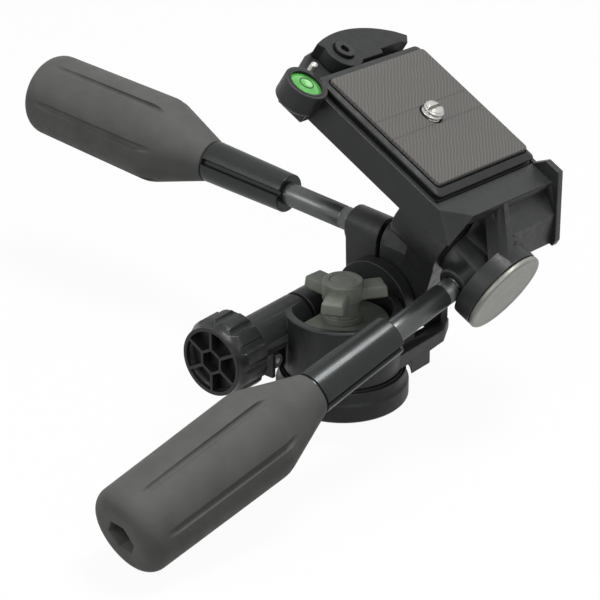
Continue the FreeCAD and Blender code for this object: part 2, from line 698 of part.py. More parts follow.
def right_wall():
    """Side wall of the end bracket, with a corner that rises beside the plate."""
    corner = RAIL_TOP + WALL_RISE
    outline = [(WALL_FOOT_Y, WALL_FOOT_Z), (SHELF_Y, corner), (SHELF_Y + 5, corner), (POCKET_Y0, RAIL_TOP),
               (POCKET_Y0, TRAY_Z), (UNDER_Y, TRAY_Z), (WALL_FOOT_Y + BACKING_T, WALL_FOOT_Z - 2),
               (WALL_FOOT_Y, WALL_FOOT_Z - 2)]
    return side_prism(TRAY_HALF - WALL_T, TRAY_HALF, outline)


def backing():
    """Wall behind the right pocket, from the shelf down to the end boss."""
    under = RAIL_TOP - SHELF_T
    foot = COVER_R / 2
    slab = side_prism(-COLLAR_R / 2, TRAY_HALF, [
        (SHELF_Y + 1, under), (CREASE_Y, CREASE_Z), (WALL_FOOT_Y + 1, foot),
        (WALL_FOOT_Y + 1 + BACKING_T, foot), (UNDER_Y, TRAY_Z), (POCKET_Y0, TRAY_Z), (POCKET_Y0, under)])
    below = [Vec(TRAY_HALF, 0, WALL_FOOT_Z - 2), Vec(COVER_R, 0, COVER_R / 4), Vec(COVER_R, 0, -COVER_R),
             Vec(2 * TRAY_HALF, 0, -COVER_R), Vec(2 * TRAY_HALF, 0, WALL_FOOT_Z - 2)]
    return slab.cut(prism(below, Y * POCKET_Y0))


def middle_rib():
    """Rib from the shelf's edge down to the end boss, wider and further left at its foot."""
    top = RAIL_TOP - SEAT
    foot = 0.8 * COVER_R
    front = COVER_T + COVER_STEP
    side = [(SHELF_Y, top), (POCKET_Y0, top), (END_WALL, foot - 3), (front, foot - 3), (front, foot)]
    seen = [Vec(RIB_X - RIB_TOP_W / 2, 0, top), Vec(RIB_X + RIB_TOP_W / 2, 0, top),
            Vec(RIB_X - 2, 0, foot - 3), Vec(RIB_X - 2 - RIB_FOOT_W, 0, foot - 3)]
    return side_prism(-COVER_R, COVER_R, side).common(prism(seen, Y * POCKET_Y0))


def left_gusset():
    """Facet that carries the shelf's left corner down to a point."""
    corners = [Vec(-TRAY_HALF, SHELF_Y + CORNER_L, RAIL_TOP), Vec(-TRAY_HALF + CORNER_W, SHELF_Y, RAIL_TOP),
               Vec(-TRAY_HALF, SHELF_Y - TIP_L, TRAY_Z + TIP_RISE), Vec(-TRAY_HALF, POCKET_Y0, TRAY_Z)]
    return solid_of(corners, [[0, 1, 2], [0, 3, 1], [0, 2, 3], [1, 3, 2]])


def handle_boss():
    boss = rod(BOSS_R, Vec(0, HUB_BACK, 0), FRONT_AXIS, HUB_FRONT - HUB_GAP)
    rims = ring_edges(boss, BOSS_R, Vec(0, HUB_BACK, 0) + FRONT_AXIS * (HUB_FRONT - HUB_GAP), FRONT_AXIS)
    return boss.makeChamfer(CUP_EASE, rims)


def platform_bracket():
    boss = rod(COVER_R, Vec(0, COVER_T + COVER_STEP, 0), Y, END_WALL - COVER_T - COVER_STEP)
    collar = rod(COLLAR_R, Vec(0, COVER_T + COVER_STEP, 0), Y, COLLAR_END - COVER_T - COVER_STEP)
    hanger = box(-HANGER_HALF, HANGER_HALF, END_WALL - 1, COLLAR_END, COLLAR_R / 2, TRAY_Z + 1)
    level_arm = box(LEVEL_X, -TRAY_HALF + 1, LEVEL_Y - 0.7 * LEVEL_R, LEVEL_Y + 0.7 * LEVEL_R, TRAY_Z, DECK_Z)
    walls = [right_wall(), backing(), middle_rib(), left_gusset()]
    cup = level_cup().cut(plate_pocket())
    body = joined([tray(), boss, collar, hanger, handle_boss(), level_arm, cup] + walls)
    return body.cut([
        rod(SIDE_SHAFT_R + RUN, Vec(0, 0, 0), Y, COLLAR_END),
        rod(NUT_R + NUT_ROOM, Vec(0, 0, 0), Y, RECESS_Y),
        rod(STUD_R + RUN, Vec(0, HUB_BACK, 0), FRONT_AXIS, HUB_FRONT),
        rod(PIVOT_R, Vec(LEVER_X, LEVER_Y, TRAY_Z), Z, LEVER_TOP),
        rod(PIN_R, Vec(PIN_X, PIN_Y, TRAY_Z + TRAY_WALL), Z, LEVER_TOP),
        level_hole(),
    ])


def side_cover():
    plate = rod(COVER_R, Vec(0, 0, 0), Y, COVER_T)
    plate = plate.makeChamfer(0.4, ring_edges(plate, COVER_R, Vec(0, 0, 0), Y))
    return plate.fuse(tube(COVER_R - 0.8, NUT_R + NUT_ROOM, Vec(0, COVER_T, 0), Y, COVER_STEP))


def clamp_shoe():
    return placed(rod(STUD_R, Vec(0, 0, SIDE_SHAFT_R + RUN), Z, SHOE_L), aim(Vec(0, HUB_BACK, 0), FRONT_AXIS))


# Spirit level

def level_cup():
    cup = rod(LEVEL_R, Vec(LEVEL_X, LEVEL_Y, LEVEL_TOP - LEVEL_H), Z, LEVEL_H)
    foot = ring_edges(cup, LEVEL_R, Vec(LEVEL_X, LEVEL_Y, LEVEL_TOP - LEVEL_H), Z)
    return cup.makeChamfer(2 * CUP_EASE, foot)


def level_hole():
    return rod(VIAL_R + LEVEL_BEZEL, Vec(LEVEL_X, LEVEL_Y, LEVEL_TOP - VIAL_H), Z, VIAL_H)


def level_bezel():
    return tube(VIAL_R + LEVEL_BEZEL, VIAL_R, Vec(LEVEL_X, LEVEL_Y, LEVEL_TOP - VIAL_H), Z, VIAL_H)


def level_vial():
    """Round vial with a domed top."""
    ball = (VIAL_R * VIAL_R + VIAL_DOME * VIAL_DOME) / (2 * VIAL_DOME)
    body = rod(VIAL_R, Vec(LEVEL_X, LEVEL_Y, LEVEL_TOP - VIAL_H), Z, VIAL_H)
    return body.common(Part.makeSphere(ball, Vec(LEVEL_X, LEVEL_Y, LEVEL_TOP - ball)))


# Release lever, from its pivot

def lever_outline():
    """Curved arm with its finger end at +X; the heel is the round end about the pivot."""
    back = Part.Arc(Vec(-6.9, 5.0, 0), Vec(9, LEVER_BULGE, 0), Vec(LEVER_REACH - 3, 0.8, 0)).toShape()
    rest = [Vec(LEVER_REACH - 3, 0.8, 0), Vec(LEVER_REACH, -1.6, 0), Vec(LEVER_REACH - 3, -LEVER_TIP_W, 0),
            Vec(LEVER_REACH - 5, -3.2, 0), Vec(15, -3.2, 0), Vec(14, -LEVER_TIP_W - 0.6, 0),
            Vec(0, -LEVER_TIP_W - 0.6, 0), Vec(-6.9, 5.0, 0)]
    return Part.Face(Part.Wire([back] + Part.makePolygon(rest).Edges))


def release_lever():
    arm = lever_outline().extrude(Vec(0, 0, LEVER_T))
    heel = rod(LEVER_NECK_R, Vec(0, 0, 0), Z, LEVER_T)
    body = arm.fuse(heel).removeSplitter()
    return body.cut([
        rod(PIVOT_R + RUN, Vec(0, 0, 0), Z, LEVER_T),
        rod(SPRING_R + SPRING_WIRE, Vec(0, 0, 0), Z, SPRING_TURNS * SPRING_WIRE + SEAT),
        rod(PIVOT_HEAD_R + SEAT, Vec(0, 0, LEVER_T - PIVOT_HEAD_T / 2), Z, PIVOT_HEAD_T),
    ])


def lever_pivot():
    """Socket-head screw through the lever into the deck."""
    head_z = LEVER_Z + LEVER_T - PIVOT_HEAD_T / 2 + FACE
    shank = rod(PIVOT_R, Vec(LEVER_X, LEVER_Y, TRAY_Z), Z, head_z - TRAY_Z)
    head = rod(PIVOT_HEAD_R, Vec(LEVER_X, LEVER_Y, head_z), Z, PIVOT_HEAD_T)
    socket = placed(hexagon(0.5 * PIVOT_HEAD_R, PIVOT_HEAD_T), aim(Vec(LEVER_X, LEVER_Y, head_z + 0.4), Z))
    return shank.fuse(head).cut(socket)


def lever_spring():
    """Torsion spring's coil, standing on the deck round the pivot."""
    pitch = SPRING_WIRE + 0.05
    path = Part.makeHelix(pitch, pitch * (SPRING_TURNS - 1), SPRING_R)
    section = Part.Wire(Part.makeCircle(SPRING_WIRE / 2, Vec(SPRING_R, 0, 0), Y))
    coil = Part.Wire(path).makePipeShell([section], True, True)
    coil.translate(Vec(LEVER_X, LEVER_Y, DECK_Z + SPRING_WIRE / 2))
    return coil


def stop_pin():
    pin = rod(PIN_R, Vec(PIN_X, PIN_Y, TRAY_Z + TRAY_WALL), Z, RAIL_TOP - TRAY_Z - TRAY_WALL)
    return pin.fuse(Part.makeSphere(PIN_R, Vec(PIN_X, PIN_Y, RAIL_TOP)))


# Quick plate

def beveled(half, low, high):
    rim = high - PLATE_DROP
    foot = rim - PLATE_RIM_T - PLATE_WAIST
    left = [(-half, low), (-half, foot), (PLATE_WAIST - half, foot), (-half, rim - PLATE_RIM_T), (-half, rim),
            (PLATE_BEVEL - half, high)]
    return left + [(-x, z) for x, z in reversed(left)]


def quick_plate():
    along = [Vec(-PLATE_W, PAD_Y + y, z) for y, z in beveled(PLATE_L / 2, PLATE_Z, PLATE_TOP)]
    across = [Vec(x, PAD_Y - PLATE_L, z) for x, z in beveled(PLATE_W / 2, PLATE_Z, PLATE_TOP)]
    body = prism(along, X * 2 * PLATE_W).common(prism(across, Y * 2 * PLATE_L))
    return body.cut([
        pad_block(),
        rod(SCREW_NECK_R + RUN, Vec(0, PAD_Y, PLATE_Z), Z, PLATE_T),
        rod(SCREW_HEAD_R + SEAT, Vec(0, PAD_Y, PLATE_Z), Z, SCREW_HEAD_T + CLIP_T + 3 * FACE),
    ])


def pad_block():
    top = PAD_Z
    block = box(-PAD_W / 2, PAD_W / 2, PAD_Y - PAD_L / 2, PAD_Y + PAD_L / 2, top - PAD_T, top)
    return block.makeFillet(1.2, [edge for edge in block.Edges if abs(edge.Length - PAD_T) < 1e-6])


def plate_pad():
    return pad_block().cut(rod(SCREW_R + SEAT, Vec(0, PAD_Y, PLATE_Z), Z, PAD_Z))


def camera_screw():
    """Screw with a round head below the plate, a plain neck and a slotted thread."""
    tip = PAD_Z + SCREW_PROUD
    thread = rod(SCREW_R, Vec(0, PAD_Y, PAD_Z), Z, SCREW_PROUD)
    thread = thread.makeChamfer(0.5, ring_edges(thread, SCREW_R, Vec(0, PAD_Y, tip), Z))
    neck = rod(SCREW_NECK_R, Vec(0, PAD_Y, HEAD_Z), Z, PAD_Z - HEAD_Z)
    head = rod(SCREW_HEAD_R, Vec(0, PAD_Y, HEAD_Z), Z, SCREW_HEAD_T)
    half = SCREW_SLOT / 2
    slots = [box(-SCREW_R, SCREW_R, PAD_Y - half, PAD_Y + half, tip - SCREW_SLOT, tip),
             box(-SCREW_HEAD_R, SCREW_HEAD_R, PAD_Y - half, PAD_Y + half, HEAD_Z, HEAD_Z + SCREW_SLOT)]
    return joined([thread, neck, head]).cut(slots)


def screw_clip():
    return tube(CLIP_R, SCREW_NECK_R, Vec(0, PAD_Y, HEAD_Z + SCREW_HEAD_T), Z, CLIP_T)


def save_base():
    save("pan_base", pan_base())
    save("tripod_thread_insert", thread_insert())
    save("pan_spindle", pan_spindle())
    save("pan_friction_ring", friction_ring())


def save_pan_body():
    save("pan_body", pan_body())
    save("tilt_shaft", tilt_shaft())
    save("clamp_stop_screw", stop_screw(), stop_place())
    save("pan_lock_nut", lock_nut(), lock_nut_place())
    save("wing_thrust_washer", wing_washer())
    save("pan_lock_knob", lock_knob(), aim(Vec(LOCK_FACE_X + LOCK_L, LOCK_Y, LOCK_Z), X * -1))
    save("pan_lock_screw", lock_screw())
    save("pan_wing_knob", wing_knob())


def save_tilt_body():
    save("tilt_body", tilt_body(), TILT_FRAME)
    save("tilt_friction_washers", tilt_washers(), TILT_FRAME)
    save("tilt_clamp_nut", clamp_nut(), TILT_FRAME.multiply(clamp_nut_place()))
    save("side_tilt_shaft", side_shaft(), TILT_FRAME)
    save("side_tilt_nut", side_nut(), TILT_FRAME)
    save("side_tilt_washers", side_washers(), TILT_FRAME)


def save_handles():
    rear = TILT_FRAME.multiply(aim(clamp_point(CLAMP_REAR), REAR_AXIS))
    front = SIDE_FRAME.multiply(aim(Vec(0, HUB_BACK, 0) + FRONT_AXIS * HUB_FRONT, FRONT_AXIS))
    handles = [("rear", rear, CLAMP_REAR + CLAMP_FRONT, REAR_GROOVE),
               ("front", front, HUB_FRONT - STUD_END, FRONT_GROOVE)]
    for name, place, stud, turn in handles:
        save(name + "_handle_rod", handle_rod(stud), place)
        save(name + "_handle_sleeve", handle_sleeve(turn), place)
        save(name + "_handle_grip", handle_grip(), place)


def save_platform():
    save("platform_bracket", platform_bracket(), SIDE_FRAME)
    save("side_tilt_cover", side_cover(), SIDE_FRAME)
    save("side_clamp_shoe", clamp_shoe(), SIDE_FRAME)
    save("level_bezel", level_bezel(), SIDE_FRAME)
    save("level_vial", level_vial(), SIDE_FRAME)
    save("lever_pivot_screw", lever_pivot(), SIDE_FRAME)
    save("lever_spring", lever_spring(), SIDE_FRAME)
    save("plate_stop_pin", stop_pin(), SIDE_FRAME)
    lever_place = FreeCAD.Placement(Vec(LEVER_X, LEVER_Y, LEVER_Z), FreeCAD.Rotation())
    save("release_lever", release_lever(), SIDE_FRAME.multiply(lever_place))
    save("quick_plate", quick_plate(), SIDE_FRAME)
    save("quick_plate_pad", plate_pad(), SIDE_FRAME)
    save("camera_screw", camera_screw(), SIDE_FRAME)
    save("camera_screw_clip", screw_clip(), SIDE_FRAME)


os.makedirs("parts", exist_ok=True)
save_base()
save_pan_body()
save_tilt_body()
save_handles()
save_platform()
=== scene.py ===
import bmesh
import bpy
import json
from math import atan2, cos, pi, radians, sin, sqrt, tan
from mathutils import Matrix, Vector


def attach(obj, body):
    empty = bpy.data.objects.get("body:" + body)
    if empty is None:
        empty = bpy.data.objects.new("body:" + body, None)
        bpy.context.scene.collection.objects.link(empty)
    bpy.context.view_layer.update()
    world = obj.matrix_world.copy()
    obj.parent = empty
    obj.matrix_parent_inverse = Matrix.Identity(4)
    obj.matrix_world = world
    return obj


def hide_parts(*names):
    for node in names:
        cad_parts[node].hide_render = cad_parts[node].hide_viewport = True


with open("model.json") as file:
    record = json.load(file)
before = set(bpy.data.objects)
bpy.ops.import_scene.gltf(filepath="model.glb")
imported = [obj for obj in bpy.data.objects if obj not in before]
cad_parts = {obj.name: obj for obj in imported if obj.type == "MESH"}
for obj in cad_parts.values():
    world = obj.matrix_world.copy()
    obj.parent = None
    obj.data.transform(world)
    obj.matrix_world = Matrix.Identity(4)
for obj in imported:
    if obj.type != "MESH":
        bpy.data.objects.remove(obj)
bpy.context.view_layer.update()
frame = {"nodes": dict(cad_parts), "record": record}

# Three-way tripod head. Lengths below are in millimetres unless marked; MM turns them into metres.
MM = 0.001

# Placement of the tilted body and of the platform that leans on it
TILT_AXIS = Vector((0, 1.0, 22.5))
TILT_ANGLE = 28.7
SIDE_AXIS = Vector((21.6, -29.8, 31.1))
SIDE_ANGLE = 7.9
REAR_DROOP = 24.6
FRONT_DROOP = 25.3
DRUM_X = 24.4
CLAMP_RISE = 16.5
CLAMP_REAR = 15.4
HUB_BACK = 10.75
HUB_FRONT = 10.8

# Rod of a handle and the stud ahead of its shoulder, measured out from that shoulder
ROD_R = 3.43
ROD_END = 103.4
ROD_EDGE = 0.5
ROD_RING_START = 3.2
ROD_RING_END = 4.2
ROD_RING_SLOPE = 0.2
ROD_RING_T = 0.22
CORE_R = 1.0            # where the flat ends of rod and stud begin
STUD_ROOT_R = 2.6
STUD_CREST_R = 2.98
STUD_PITCH = 1.0
STUD_TIP = 0.4
STUD_RUN_OUT = 1.4      # smooth part behind the thread
STUD_LAST_ROOT = -0.2
STUD_OVERLAP = 0.1      # sunk into the rod
REAR_STUD = 27.4
FRONT_STUD = 5.0

# Sleeve
SLEEVE_START = 24.3
SLEEVE_R_IN = 5.78
SLEEVE_R_OUT = 6.3
SLEEVE_SEAT = 0.2       # sunk below the rod's surface
SLEEVE_EDGE = 0.45
SLEEVE_NECK_EDGE = 0.2
JOINT_L = 0.6
JOINT_T = 0.5
JOINT_OVERLAP = 0.3     # neck runs into the grip
SLOT_W = 1.8
SLOT_DEPTH = 1.3
SLOT_ZONE = 1.6         # finely meshed zone, in half-widths of the slot, as are the next three
SLOT_WALL_END = 1.1
SLOT_WALL = 0.2
SLOT_NEAR = (-SLOT_ZONE, -1.25, -1.05, -0.95, -0.8, 0, 0.8, 0.95, 1.05, 1.25, SLOT_ZONE)
REAR_SLOT_TURN = 200.0
FRONT_SLOT_TURN = 286.0

# Grip
GRIP_START = 54.0
GRIP_END = 121.4
GRIP_CORE_R = 4.0
GRIP_EDGE = 0.4
GRIP_MOUTH_R = 7.2
SHOULDER = 73.2
SHOULDER_R = 13.2
SHOULDER_ROUND = 9.0
GRIP_END_R = 12.55
GRIP_ROUND = 4.5
GROOVES = 6
GROOVE_R = 1.1
GROOVE_OUT = 0.45       # groove's centre outside the grip, in groove radii
GROOVE_BLEND = 0.25
GROOVE_TURN = 10.0
GROOVE_SHORT = 9.0
GROOVE_END = GRIP_END - GROOVE_SHORT
GROOVE_STEPS = (0, 1, 2, 3, 3.7, 4.2, 4.6, 5.0, 5.5, 6.2, 7.5, 10, 14, 19, 24)     # degrees off its middle
HEX_R = 5.0
HEX_DEPTH = 14.0
HEX_MOUTH = (           # depth, radius past HEX_R, and how much of a hexagon
    (0, 1.0, 0.4), (0, 0.45, 1.0), (0.12, 0.12, 1.0), (0.45, 0, 1.0), (HEX_DEPTH, 0, 1.0),
)

# Pad and quick plate, in the platform's own frame
PAD_Y = 47.3
PAD_Z = 25.2
PAD_L = 42.6
PAD_W = 45.9
PAD_T = 1.4
PAD_CORNER = 1.2
PAD_EDGE = 0.35
PAD_FOOT_EDGE_T = 0.3
PAD_EDGE_MID = 0.12
PAD_EDGE_TOP = 0.38
PAD_HOLE_GAP = 0.3
PAD_HOLE_EDGE_T = 0.3
PLATE_L = 48.0
PLATE_W = 49.6
PLATE_T = 6.2
PLATE_TOP = 24.6
PLATE_CORNER = 1.6
PLATE_BEVEL = 2.6
PLATE_DROP = 1.3
PLATE_RIM_T = 0.7
PLATE_WAIST = 1.2
PLATE_INSET = 0.02      # keeps its sides just inside the CAD's
PLATE_FOOT_EDGE = 0.4
WAIST_EDGE = 0.2
WAIST_EDGE_T = 0.15
WAIST_STEP = 0.1
RIM_FOOT_EDGE = 0.15
RIM_FOOT_EDGE_T = 0.2
RIM_EDGE = 0.16
RIM_EDGE_T = 0.12
RIM_EDGE_UP = 0.06
PAD_SEAT = 0.03         # gap between the pad and its recess
MOAT_W = 0.45           # open line round the pad
MOAT_T = 0.5
MOAT_EDGE = 0.12
MOAT_EDGE_T = 0.1
MOAT_EDGE_DROP = 0.02
HEAD_GAP = 0.3
HEAD_ROOM = 0.8
NECK_GAP = 0.2

# Cover disc
COVER_R = 12.9
COVER_T = 1.4
COVER_DISH = 0.12       # depth of the face at its middle
COVER_RIM_FOOT_T = 0.1
COVER_RIM_FOOT = 1.9    # in from the disc's edge, as are the next two and COVER_STEP_IN
COVER_RIM_IN = 1.5
COVER_RIM_OUT = 0.4
COVER_RIM_EDGE = 0.4
COVER_BEVEL_T = 0.45
COVER_EDGE = 0.3
COVER_BACK_EDGE = 0.2
COVER_STEP_IN = 0.8
COVER_STEP_T = 0.4
COVER_MIDDLE_R = 0.5

# Camera screw
SCREW_R = 3.17
SCREW_NECK_R = 2.5
SCREW_PROUD = 2.8
SCREW_PITCH = 1.27
SCREW_START = 0.4       # thread begins this far below the pad's top
SCREW_THREAD_T = 0.55
SCREW_CREST = 1.2       # above 1 sharpens the crests
SCREW_TIP = 0.75
SCREW_TIP_R = 1.2
SCREW_WORN = 0.1        # crests that are flattened by this much
SCREW_SLOT_HALF = 0.55
SCREW_SLOT_DEPTH = 1.1
SCREW_SLOT_PAST = 1.0   # the cut runs past the screw by this much
SCREW_HEAD_R = 7.6
SCREW_HEAD_T = 2.2
SCREW_HEAD_Z = 18.5
SCREW_HEAD_EDGE = 0.3
SCREW_MIDDLE_R = 0.4

# Spirit level
LEVEL_X = -30.6
LEVEL_Y = 70.7
LEVEL_TOP = 23.9
VIAL_R = 4.7
VIAL_H = 4.4
VIAL_DOME = 0.9
VIAL_DOME_STEPS = 9
VIAL_FOOT_R = 0.3
VIAL_TOP_R = 0.2
VIAL_RING_R = 2.0
VIAL_RING_HALF_W = 0.14
VIAL_RING_HALF_T = 0.1
VIAL_RING_Z = -0.11
BUBBLE_SKIN = ((-0.32, 1.45), (-0.12, 1.4), (-0.03, 1.15), (0.0, 0.8), (0.0, 0.2))   # height, radius
BUBBLE_OFF = (0.35, -0.25, 0)

# Pan knob
WING_BOTTOM = 23.7
WING_TOP = 35.7
WING_HUB_R = 5.8
WING_NECK_R = 4.7
WING_FOOT_T = 2.0
WING_BORE_R = 3.25
WING_FOOT_EDGE = 0.3
WING_STEP_EDGE = 0.4
WING_HEAD_EDGE = 0.5
WING_TOP_EDGE = 0.7
WING_MOUTH = 0.6        # wider than the bore by this at the top
WING_MOUTH_FLOOR = 0.4
WING_MOUTH_EDGE = 0.3
WING_MOUTH_T = 0.5
WING_CAP_R = 3.75
WING_CAP_FOOT = 0.6     # depths below the knob's top
WING_CAP_RIM = 0.12
WING_CAP_MIDDLE = 0.08
WING_CAP_EDGE = 0.2
WING_CAP_MIDDLE_R = 0.3
LOBES = 3
LOBE_START = 2.0
LOBE_REACH = 12.4
LOBE_W = 6.8
LOBE_T = 3.8
LOBE_DROP = 1.9
LOBE_TAPER = 0.35
LOBE_EDGE = 0.8
WING_TURN = 84.0

# Camera that took the photograph, aimed at the head's origin, and the floor below the lowest grip
VIEW_TURN = -50.632
VIEW_RISE = 26.629
VIEW_DISTANCE = 785.0
VIEW_SIDE = 11.91
VIEW_UP = -26.17
FOCAL_PIXELS = 2774.0
FRAME_PIXELS = 600.0
SENSOR = 36.0
CLIP_START = 0.01       # in metres
LIT_POINT = Vector((0, 20, 35))
FLOOR_Z = -6.0
FLOOR_REACH = 3.0       # in metres

# Mesh fineness and edges
ARC_STEP = 9.0          # degrees between points of a rounded corner
BOX_ARC = 6             # points round a corner of a rounded rectangle
BOX_SIDE = 10           # points along its sides
SHARP = 50.0            # degrees above which an edge stays sharp
STACK_SHARP = 40.0
OPEN_ANGLE = 32.0       # degrees above which an outer edge is eased
EDGE_MIN = 0.4          # shortest eased edge, in bevel widths
FACE_MIN = 1.5          # narrowest face beside it, in bevel widths
SAME_POINT = 2e-6       # in metres
SAME_PLANE = 0.5        # degrees

# Looks
OWN = "own_place"       # each piece's points in its own directions, for grain that follows it
ALONG_GRAIN = (1, 1, 0.06)
SHEEN_LEVEL = 0.3       # how much the dark plastics and castings mirror
RUBBER_LEVEL = 0.18
EDGE_TINT = (0.5, 0.5, 0.5, 1.0)    # metal seen at a slant
WORLD_LIGHT = 0.08
FLOOR_SHADE = 0.25
FLOOR_GLOW = 1.12
FLOOR_GLOW_SHARE = 0.85
WHITE = (1.0, 1.0, 1.0, 1.0)


def tone(red, green, blue):
    """Linear colour of an 8-bit display colour."""
    out = []
    for value in (red, green, blue):
        part = value / 255
        out.append(part / 12.92 if part <= 0.04045 else ((part + 0.055) / 1.055) ** 2.4)
    return tuple(out) + (1.0,)


# Frames

def shifted(x, y, z):
    return Matrix.Translation(Vector((x, y, z)) * MM)


def turned_about(axis, degrees):
    return Matrix.Rotation(radians(degrees), 4, axis)


def aimed(origin, direction):
    """Frame at an origin whose +Z runs along a direction, turned the short way."""
    turn = Vector((0, 0, 1)).rotation_difference(direction)
    return shifted(*origin) @ turn.to_matrix().to_4x4()


TILT = shifted(*TILT_AXIS) @ turned_about("X", TILT_ANGLE)
SIDE = TILT @ shifted(*SIDE_AXIS) @ turned_about("Y", SIDE_ANGLE)


def rear_handle_place():
    droop = radians(REAR_DROOP)
    along = Vector((0, cos(droop), -sin(droop)))
    rise = Vector((0, sin(droop), cos(droop)))
    return TILT @ aimed(Vector((DRUM_X, 0, 0)) + along * CLAMP_REAR + rise * CLAMP_RISE, along)


def front_handle_place():
    droop = radians(FRONT_DROOP)
    along = Vector((-cos(droop), 0, -sin(droop)))
    return SIDE @ aimed(Vector((0, HUB_BACK, 0)) + along * HUB_FRONT, along)


# Materials

class Finish:
    """Node tree of one procedural material, with the few nodes that all of them share."""

    def __init__(self, name, colour, roughness, metallic=0.0, own=False):
        self.material = bpy.data.materials.new(name)
        self.material.use_nodes = True
        self.material.diffuse_color = colour
        self.tree = self.material.node_tree
        self.shader = self.tree.nodes["Principled BSDF"]
        self.shader.inputs["Base Color"].default_value = colour
        self.shader.inputs["Roughness"].default_value = roughness
        self.shader.inputs["Metallic"].default_value = metallic
        self.colour = colour
        self.roughness = roughness
        self.height = None
        self.place = self.node("ShaderNodeTexCoord").outputs["Object"]
        if own:
            self.place = self.node("ShaderNodeAttribute", attribute_name=OWN).outputs["Vector"]

    def node(self, kind, **settings):
        made = self.tree.nodes.new(kind)
        for key, value in settings.items():
            setattr(made, key, value)
        return made

    def link(self, out, into):
        self.tree.links.new(out, into)

    def set(self, **values):
        """Constants on the shader's sockets, with _ for a space in their names."""
        for key, value in values.items():
            self.shader.inputs[key.replace("_", " ")].default_value = value
        return self

    def axes(self):
        """Place of a point along X, Y and Z."""
        parts = self.node("ShaderNodeSeparateXYZ")
        self.link(self.place, parts.inputs[0])
        return parts.outputs

    def math(self, operation, first, second=None, third=None):
        """Output of a math node, from numbers and other outputs."""
        made = self.node("ShaderNodeMath", operation=operation)
        for slot, value in enumerate((first, second, third)):
            if value is None:
                continue
            if isinstance(value, (int, float)):
                made.inputs[slot].default_value = value
            else:
                self.link(value, made.inputs[slot])
        return made.outputs[0]

    def waves(self, value, pitch_mm):
        """Sine of a length that repeats every pitch."""
        return self.math("SINE", self.math("MULTIPLY", value, 2 * pi / (pitch_mm * MM)))

    def noise(self, scale, detail=3.0, stretch=None, roughness=0.55):
        """Noise with grains of about 1/scale metres, stretched along one axis if asked."""
        source = self.place
        if stretch:
            mapping = self.node("ShaderNodeMapping")
            mapping.inputs["Scale"].default_value = stretch
            self.link(source, mapping.inputs["Vector"])
            source = mapping.outputs["Vector"]
        made = self.node("ShaderNodeTexNoise")
        made.inputs["Scale"].default_value = scale
        made.inputs["Detail"].default_value = detail
        made.inputs["Roughness"].default_value = roughness
        self.link(source, made.inputs["Vector"])
        return made.outputs["Fac"]

    def ramp(self, value, low, high):
        """Value from 0.3..0.7 of a noise carried to low..high."""
        made = self.node("ShaderNodeMapRange")
        made.inputs["From Min"].default_value = 0.3
        made.inputs["From Max"].default_value = 0.7
        made.inputs["To Min"].default_value = low
        made.inputs["To Max"].default_value = high
        self.link(value, made.inputs["Value"])
        return made.outputs["Result"]

    def blend(self, value, first, second):
        """Mix of two colours, each a constant or another output."""
        mix = self.node("ShaderNodeMix", data_type="RGBA")
        self.link(value, mix.inputs["Factor"])
        for slot, colour in (("A", first), ("B", second)):
            socket = [entry for entry in mix.inputs if entry.name == slot and entry.type == "RGBA"][0]
            if isinstance(colour, tuple):
                socket.default_value = colour
            else:
                self.link(colour, socket)
        return [entry for entry in mix.outputs if entry.type == "RGBA"][0]

    def scaled(self, factor):
        return tuple(min(1.0, value * factor) for value in self.colour[:3]) + (1.0,)

    def mottle(self, value, spread):
        """Colour that drifts by a share of itself."""
        drift = self.blend(self.ramp(value, 0.0, 1.0), self.scaled(1 - spread), self.scaled(1 + spread))
        self.link(drift, self.shader.inputs["Base Color"])
        return self

    def patchy(self, value, spread):
        """Roughness that drifts."""
        rough = self.ramp(value, self.roughness - spread, self.roughness + spread)
        self.link(rough, self.shader.inputs["Roughness"])
        return self

    def relief(self, value, depth_mm, strength=1.0):
        """Bump from a 0..1 value; several are stacked."""
        bump = self.node("ShaderNodeBump")
        bump.inputs["Strength"].default_value = strength
        bump.inputs["Distance"].default_value = depth_mm * MM
        self.link(value, bump.inputs["Height"])
        if self.height:
            self.link(self.height, bump.inputs["Normal"])
        self.height = bump.outputs["Normal"]
        self.link(self.height, self.shader.inputs["Normal"])
        return self


def casting(name, colour, roughness):
    """Moulded black plastic or painted casting with a fine spark-eroded grain."""
    made = Finish(name, colour, roughness)
    made.mottle(made.noise(scale=160, detail=4), spread=0.16)
    made.patchy(made.noise(scale=420), spread=0.07)
    made.set(Specular_IOR_Level=SHEEN_LEVEL)
    made.relief(made.noise(scale=3200, detail=2), depth_mm=0.03)
    return made.relief(made.noise(scale=90, detail=2), depth_mm=0.05, strength=0.5)


def rubber():
    """Matt rubber of the grips."""
    made = Finish("grip_rubber", tone(91, 92, 89), roughness=0.66)
    made.mottle(made.noise(scale=130, detail=4), spread=0.1)
    made.patchy(made.noise(scale=300), spread=0.06)
    made.relief(made.noise(scale=2600), depth_mm=0.05)
    return made.set(Specular_IOR_Level=RUBBER_LEVEL)


